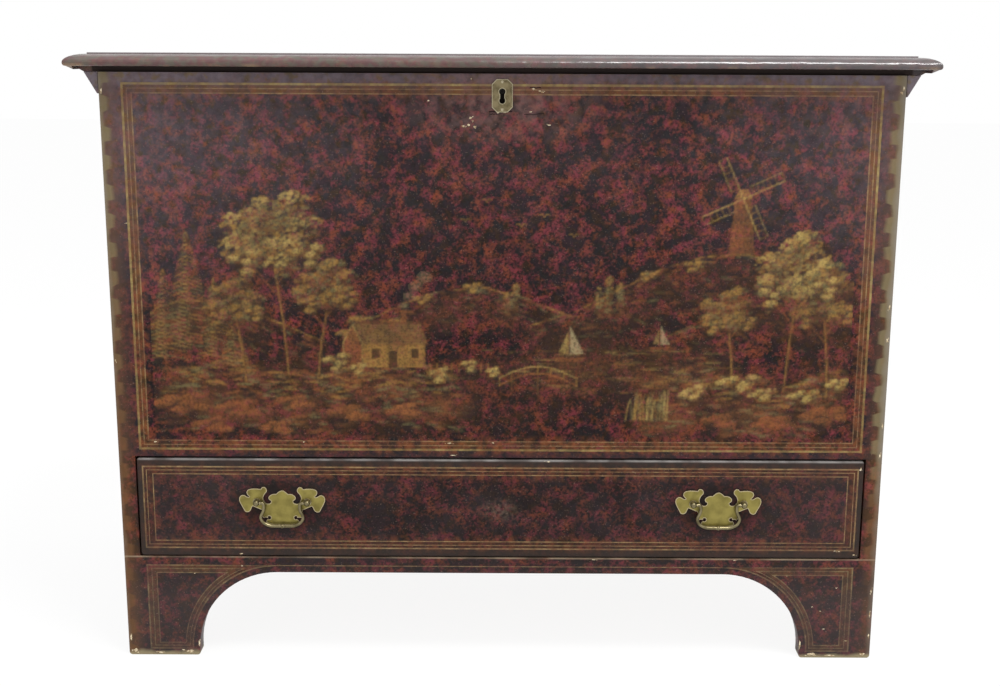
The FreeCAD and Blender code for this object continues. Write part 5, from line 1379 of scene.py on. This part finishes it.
def painted_cells(thick):
    """Corner numbers of the grid cells that hold paint, and the edges that have no cell beyond them."""
    corners = np.stack([thick[:-1, :-1], thick[:-1, 1:], thick[1:, 1:], thick[1:, :-1]])
    cells = np.argwhere(corners.max(0) > SKIN_EDGE_COVER)
    wide = thick.shape[1]
    first = cells[:, 0] * wide + cells[:, 1]
    quads = np.stack([first, first + 1, first + wide + 1, first + wide], axis=1)
    edges = np.concatenate([quads[:, [i, (i + 1) % 4]] for i in range(4)])
    pairs = {tuple(edge) for edge in edges.tolist()}
    return quads, [edge for edge in pairs if (edge[1], edge[0]) not in pairs]


def flat_map(piece, front_faces):
    """A texture map with the front faces straight on, and the thin sides and back along its top edge."""
    mesh = piece.data
    corners = np.empty(len(mesh.loops), int)
    mesh.loops.foreach_get("vertex_index", corners)
    places = np.empty(len(mesh.vertices) * 3)
    mesh.vertices.foreach_get("co", places)
    flat = places.reshape(-1, 3)[:, [0, 2]]
    flat = (flat - flat.min(0)) / (flat.max(0) - flat.min(0))
    chart = flat[corners] * (1, FRONT_SHARE)
    hidden = np.arange(len(corners)) >= 4 * front_faces
    chart[hidden, 1] = HIDDEN_FROM + chart[hidden, 1] * (1 - HIDDEN_FROM)
    mesh.uv_layers.new(name="OFBake").data.foreach_set("uv", chart.astype(np.float32).reshape(-1))


def skin_of_paint(name, left, right, material):
    """Closed thin mesh over the painted places of part of the canvas; its points store colour and cover."""
    columns = np.linspace(left, right, round((right - left) / SKIN_PITCH_MM))
    rows = np.arange(2, PAINT_HEIGHT - 2, SKIN_PITCH_MM)
    pick = np.ix_(rows.astype(int), columns.astype(int))
    thick = softened(cover)[pick]
    colour = softened(pigment)[pick] / np.maximum(thick, 1e-4)[..., None]
    quads, rim = painted_cells(thick)
    used = np.unique(quads)
    count = len(used)
    renumber = np.full(thick.size, -1)
    renumber[used] = np.arange(count)
    front = renumber[quads].tolist()
    back = (renumber[quads][:, ::-1] + count).tolist()
    walls = [(renumber[b], renumber[a], renumber[a] + count, renumber[b] + count) for a, b in rim]
    x = PAINT_LEFT + columns[used % len(columns)]
    z = PAINT_BASE + rows[used // len(columns)]
    shared = thick.reshape(-1)[used]
    points = np.concatenate([np.stack([x, FRONT - SKIN_LEAST_MM - SKIN_LIFT_MM * shared, z], 1),
                             np.stack([x, np.full(count, FRONT + SKIN_ROOT_MM), z], 1)])
    piece = add_piece(name, points.tolist(), front + back + walls, material, "carcase")
    store = piece.data.color_attributes.new("pigment", "FLOAT_COLOR", "POINT")
    values = np.concatenate([colour.reshape(-1, 3)[used], shared[:, None]], axis=1)
    store.data.foreach_set("color", np.concatenate([values, values]).astype(np.float32).reshape(-1))
    flat_map(piece, len(front))


FLECK_MM = 3.2
FADED_MM = 26.0
# Bronze powders and glazes under varnish: thin dull gold, worn through to the red ground in places.
landscape_paint, tree = new_material("bronze_powder_landscape")
touch = node(tree, "VertexColor", out=None, layer_name="pigment")
spread, _ = place_mm(tree)
flecks = node(tree, "TexNoise", {"Vector": spread, "Scale": 1 / FLECK_MM, "Detail": 2})
fading = node(tree, "TexNoise", {"Vector": spread, "Scale": 1 / FADED_MM, "Detail": 3})
flecked = node(tree, "MapRange", [flecks, 0.42, 0.66, 1.0, 0.55])
faded = node(tree, "MapRange", [fading, 0.35, 0.65, 0.86, 0.56])
kept = node(tree, "Math", [flecked, faded], operation="MULTIPLY")
left_cover = node(tree, "Math", [touch["Alpha"], kept], operation="MULTIPLY")
bare_ground = panel_ground(tree)
worn_picture = node(tree, "Mix", {0: left_cover, 6: bare_ground, 7: touch["Color"]}, 2, data_type="RGBA")
varnish(tree, worn_picture)
SKIN_SPANS = (("left", 2, 288), ("middle", 288, 580), ("right", 580, PAINT_WIDTH - 2))
for side, left, right in SKIN_SPANS:
    skin_of_paint("painted_landscape_" + side, left, right, landscape_paint)

# %% [markdown]
# ## Chips, bruises and cracks
#
# Knocks have broken the paint away to the pale pine, mostly along edges, at the feet and around
# the lock, where a key scraped. Chips could be holes cut in the boards, but paint is so thin that
# flakes of bare wood laid on top look the same. Each chip is a few small flat flakes with ragged
# outlines, close together. Under the keyhole plate the paint has also opened in fine cracks along
# the grain, which are thin dark strips here.

# %% Flakes of bare wood
CHIP_DIRT_MM = 2.4
# Broken softwood: matt and pale, brown where dirt has gone into it.
chip_wood, tree = new_material("chipped_bare_pine")
spread, _ = place_mm(tree)
grime = node(tree, "TexNoise", {"Vector": spread, "Scale": 1 / CHIP_DIRT_MM, "Detail": 3})
dirt = node(tree, "MapRange", [grime, 0.38, 0.62, 0, 1])
raw = node(tree, "Mix", {0: dirt, 6: linear("#d6c8aa"), 7: linear("#8f7859")}, 2, data_type="RGBA")
flake_wood = node(tree, "BsdfPrincipled", {"Base Color": raw, "Roughness": 0.8, "Specular IOR Level": 0.2})
node(tree, "OutputMaterial", {"Surface": flake_wood}, None)
chisel = random.Random(19)
FLAKE_POINTS = 13
FLAKE_EDGE_MM = 0.05
FLAKE_CREST_MM = 0.2
FLAKE_ROOT_MM = 0.4
FLAKE_OVERLAP_MM = 0.04


def flake(points, faces, x, z, wide, tall, face):
    """Adds one ragged flat flake, raised a little in its middle."""
    base = len(points)
    for i in range(FLAKE_POINTS):
        turn = math.tau * i / FLAKE_POINTS
        reach = chisel.uniform(0.45, 1.0)
        points.append((x + wide * reach * math.cos(turn), face - FLAKE_EDGE_MM,
                       z + tall * reach * math.sin(turn)))
    points += [(px, face + FLAKE_ROOT_MM, pz) for px, _, pz in points[base:base + FLAKE_POINTS]]
    points += [(x, face - FLAKE_CREST_MM, z), (x, face + FLAKE_ROOT_MM, z)]
    front = base + 2 * FLAKE_POINTS
    for i in range(FLAKE_POINTS):
        a = base + i
        b = base + (i + 1) % FLAKE_POINTS
        faces += [(a, b, front), (b + FLAKE_POINTS, a + FLAKE_POINTS, front + 1),
                  (b, a, a + FLAKE_POINTS, b + FLAKE_POINTS)]


def chips(name, places, body):
    """Clusters of flakes on the front; each place is the middle and the half sizes of a cluster."""
    points = []
    faces = []
    for x, z, wide, tall in places:
        flake(points, faces, x, z, wide * 0.75, tall * 0.9, FRONT)
        for _ in range(2):
            flake(points, faces, x + chisel.uniform(-1.1, 1.1) * wide, z + chisel.uniform(-1.1, 1.1) * tall,
                  wide * chisel.uniform(0.15, 0.4), tall * chisel.uniform(0.2, 0.5), FRONT - FLAKE_OVERLAP_MM)
    return add_piece(name, points, faces, chip_wood, body)


print("flakes of", FLAKE_POINTS, "points in", chip_wood.name)

# %% Chipped paint: across, height, half width and half height of each chip in millimetres
LOCK_CHIPS = (
    (-37.7, 690, 2.8, 2.0), (-40, 681.5, 3.2, 1.8), (-46.5, 680.2, 3.4, 1.6), (-32.8, 679.6, 2.6, 1.8),
    (-35, 686.5, 1.4, 1.2), (-37, 736, 1.1, 1.2), (37, 724.5, 3.4, 1.4), (44.4, 722.4, 4.0, 1.6),
    (47.6, 720.7, 2.6, 1.2), (3, 698, 5, 1.5), (-5, 697, 3, 1.2), (34, 697.5, 3.2, 0.9), (56, 682, 3.4, 1.0),
)
EDGE_CHIPS = (
    (-477, 720, 1.4, 5), (477, 727, 1.8, 4), (475, 722, 2.2, 2), (477, 463, 1.5, 4), (476.6, 421, 1.6, 3.4),
    (477.6, 312, 1.2, 5), (477, 273, 1.4, 4), (-477.6, 391, 1.2, 2.6), (-455, 562, 2, 1), (477, 92, 1.2, 4),
    (477, 60, 1.3, 5), (477.2, 30, 1.4, 4), (-477, 24, 1.6, 6),
)
FOOT_CHIPS = (
    (-472, 6, 5, 3), (-402, 4.6, 8, 2.4), (404, 5, 9, 2.4), (470, 5, 6, 2.8), (-438, 3, 8, 1.4),
    (430, 3, 9, 1.4), (-389, 16, 1.6, 7), (389, 18, 1.6, 8), (-330, 122.7, 2.2, 1.2), (120, 133, 4, 0.7),
    (-60, 271, 5, 0.7), (-64, 287, 5, 1.0), (300, 133, 3, 0.8), (-88, 710, 2.4, 0.9),
)
SPECKS = (
    (-247, 287.5, 1.6, 1.4), (-9, 287.5, 1.6, 1.4), (-433, 287, 4, 0.7), (-391, 112, 1.0, 1.0),
    (402, 70, 2.4, 0.7), (448, 23.5, 3.0, 1.0), (369, 112.7, 1.6, 0.8), (419, 39.7, 2.2, 0.7),
    (412.7, 64.3, 1.6, 0.7), (432, 96, 1.4, 0.8),
)
DRAWER_CHIPS = (
    (427, 146.5, 6, 1.6), (452, 141, 3, 1.2), (-330, 139, 3, 0.9), (60, 263, 4, 0.8), (454, 255, 1.4, 3.4),
)
chips("lock_chips", LOCK_CHIPS, "carcase")
chips("case_chips", EDGE_CHIPS + FOOT_CHIPS + SPECKS, "carcase")
chips("drawer_chips", DRAWER_CHIPS, "drawer")

# %% Cracks under the keyhole plate
CRUMB_MM = 4.0
CRACK_STEPS = 7
CRACK_WAVER_MM = 0.7
CRACK_LIFT_MM = 0.1
# Dirt in a crack swallows the light, so it is nearly black and without gleam.
crack_dirt, tree = new_material("dirt_in_cracked_paint")
spread, _ = place_mm(tree)
crumbs = node(tree, "TexNoise", {"Vector": spread, "Scale": 1 / CRUMB_MM, "Detail": 2})
packed = node(tree, "MapRange", [crumbs, 0.35, 0.65, 0, 1])
black = node(tree, "Mix", {0: packed, 6: linear("#120d0b"), 7: linear("#2b2023")}, 2, data_type="RGBA")
dull_dirt = node(tree, "BsdfPrincipled", {"Base Color": black, "Roughness": 0.95, "Specular IOR Level": 0.0})
node(tree, "OutputMaterial", {"Surface": dull_dirt}, None)
CRACKS = (  # first x, last x, height and width in millimetres
    (-16, 12, 698, 1.3), (26, 50, 695, 0.7), (33, 46, 726, 1.0), (-15, -6, 694.5, 0.7),
)
crack_strips = []
for first, last, level, wide in CRACKS:
    row = [(first + (last - first) * i / CRACK_STEPS, level + chisel.uniform(-CRACK_WAVER_MM, CRACK_WAVER_MM))
           for i in range(CRACK_STEPS + 1)]
    crack_strips.append(line_strip(row, wide, False))
paint_strips("panel_cracks", crack_strips, CRACK_LIFT_MM, crack_dirt, "carcase")

# %% [markdown]
# ## Brass and iron
#
# The handle plates were cast, filed and lacquered. The lacquer has worn, so edges that polishing
# reaches are pale, and the rest has gone olive and brown. The edges could be painted by hand, but
# Cycles can round an edge for the shading alone, and where that rounded direction leaves the true
# one there is an edge, which gets a pale colour that is partly rubbed metal and partly a painted
# highlight. The lock and the hinges are forged iron, black with a little rust.

# %% Cast brass and forged iron
RUBBED_AND_LIT_EDGE_MM = 2.2
PIT_MM = 1.6
PIT_DEPTH_MM = 0.15


def aged_metal(name, bright, dark, rubbed, patch_mm, gloss, tarnish):
    """Metal with tarnish in patches and pale edges, rubbed and with a painted highlight; gloss is its least
    and most roughness.
    """
    material, tree = new_material(name)
    mm, _ = place_mm(tree)
    patches = node(tree, "TexNoise", {"Vector": mm, "Scale": 1 / patch_mm, "Detail": 4})
    pits = node(tree, "TexNoise", {"Vector": mm, "Scale": 1 / PIT_MM, "Detail": 3})
    share = node(tree, "MapRange", [patches, 0.38, 0.68, 0, tarnish])
    colour = node(tree, "Mix", {0: share, 6: bright, 7: dark}, 2, data_type="RGBA")
    rounded = node(tree, "Bevel", {"Radius": RUBBED_AND_LIT_EDGE_MM * MM}, samples=8)
    true_normal = node(tree, "NewGeometry", out="Normal")
    turned = node(tree, "VectorMath", [rounded, true_normal], "Value", operation="DOT_PRODUCT")
    # Edges take a pale colour, partly rubbed metal and partly a painted highlight where an edge catches the
    # light.
    edge = node(tree, "MapRange", [turned, 0.995, 0.93, 0, 0.85])
    colour = node(tree, "Mix", {0: edge, 6: colour, 7: rubbed}, 2, data_type="RGBA")
    dull = node(tree, "MapRange", [patches, 0.3, 0.7, *gloss])
    bump = node(tree, "Bump", {"Height": pits, "Strength": 0.25, "Distance": PIT_DEPTH_MM * MM})
    metal = node(tree, "BsdfPrincipled", {"Base Color": colour, "Metallic": 1.0, "Roughness": dull,
                                          "Normal": bump})
    node(tree, "OutputMaterial", {"Surface": metal}, None)
    return material


# Cast brass keeps a soft satin gleam and dull sheet brass almost none. Forged iron shows only its
# bruised edges, with a little painted highlight on them.
cast_brass = aged_metal("cast_brass_lacquered", linear("#968a4d"), linear("#716739"), linear("#cdbd9c"),
                        patch_mm=14, gloss=(0.34, 0.5), tarnish=0.8)
bail_brass = aged_metal("cast_brass_handled", linear("#877d5f"), linear("#5a523b"), linear("#a79b7b"),
                        patch_mm=9, gloss=(0.3, 0.45), tarnish=0.85)
sheet_brass = aged_metal("sheet_brass_dulled", linear("#887c5e"), linear("#5f553e"), linear("#c2b99e"),
                         patch_mm=7, gloss=(0.42, 0.6), tarnish=0.9)
forged_iron = aged_metal("forged_iron_blackened", linear("#2f2c2a"), linear("#35251c"), linear("#4a4643"),
                         patch_mm=8, gloss=(0.45, 0.7), tarnish=0.7)
SIDES = ("left", "right")
HINGE_PIECES = ("case_leaf", "lid_leaf", "pin")
finish(cast_brass, *[f"{side}_handle_plate" for side in SIDES])
finish(bail_brass, *[f"{side}_handle_{piece}" for side in SIDES for piece in ("bail", "posts")])
finish(sheet_brass, "keyhole_escutcheon", "escutcheon_pins")
finish(forged_iron, *[f"{side}_hinge_{piece}" for side in SIDES for piece in HINGE_PIECES])
finish(forged_iron, "hinge_case_screws", "hinge_lid_screws", "lock_case", "lock_cap", "lock_key_pin",
       "lock_bolt", "lock_screws", "lock_link_plate", "link_plate_screws", "back_nails", "runner_nails",
       "left_handle_nuts", "right_handle_nuts")
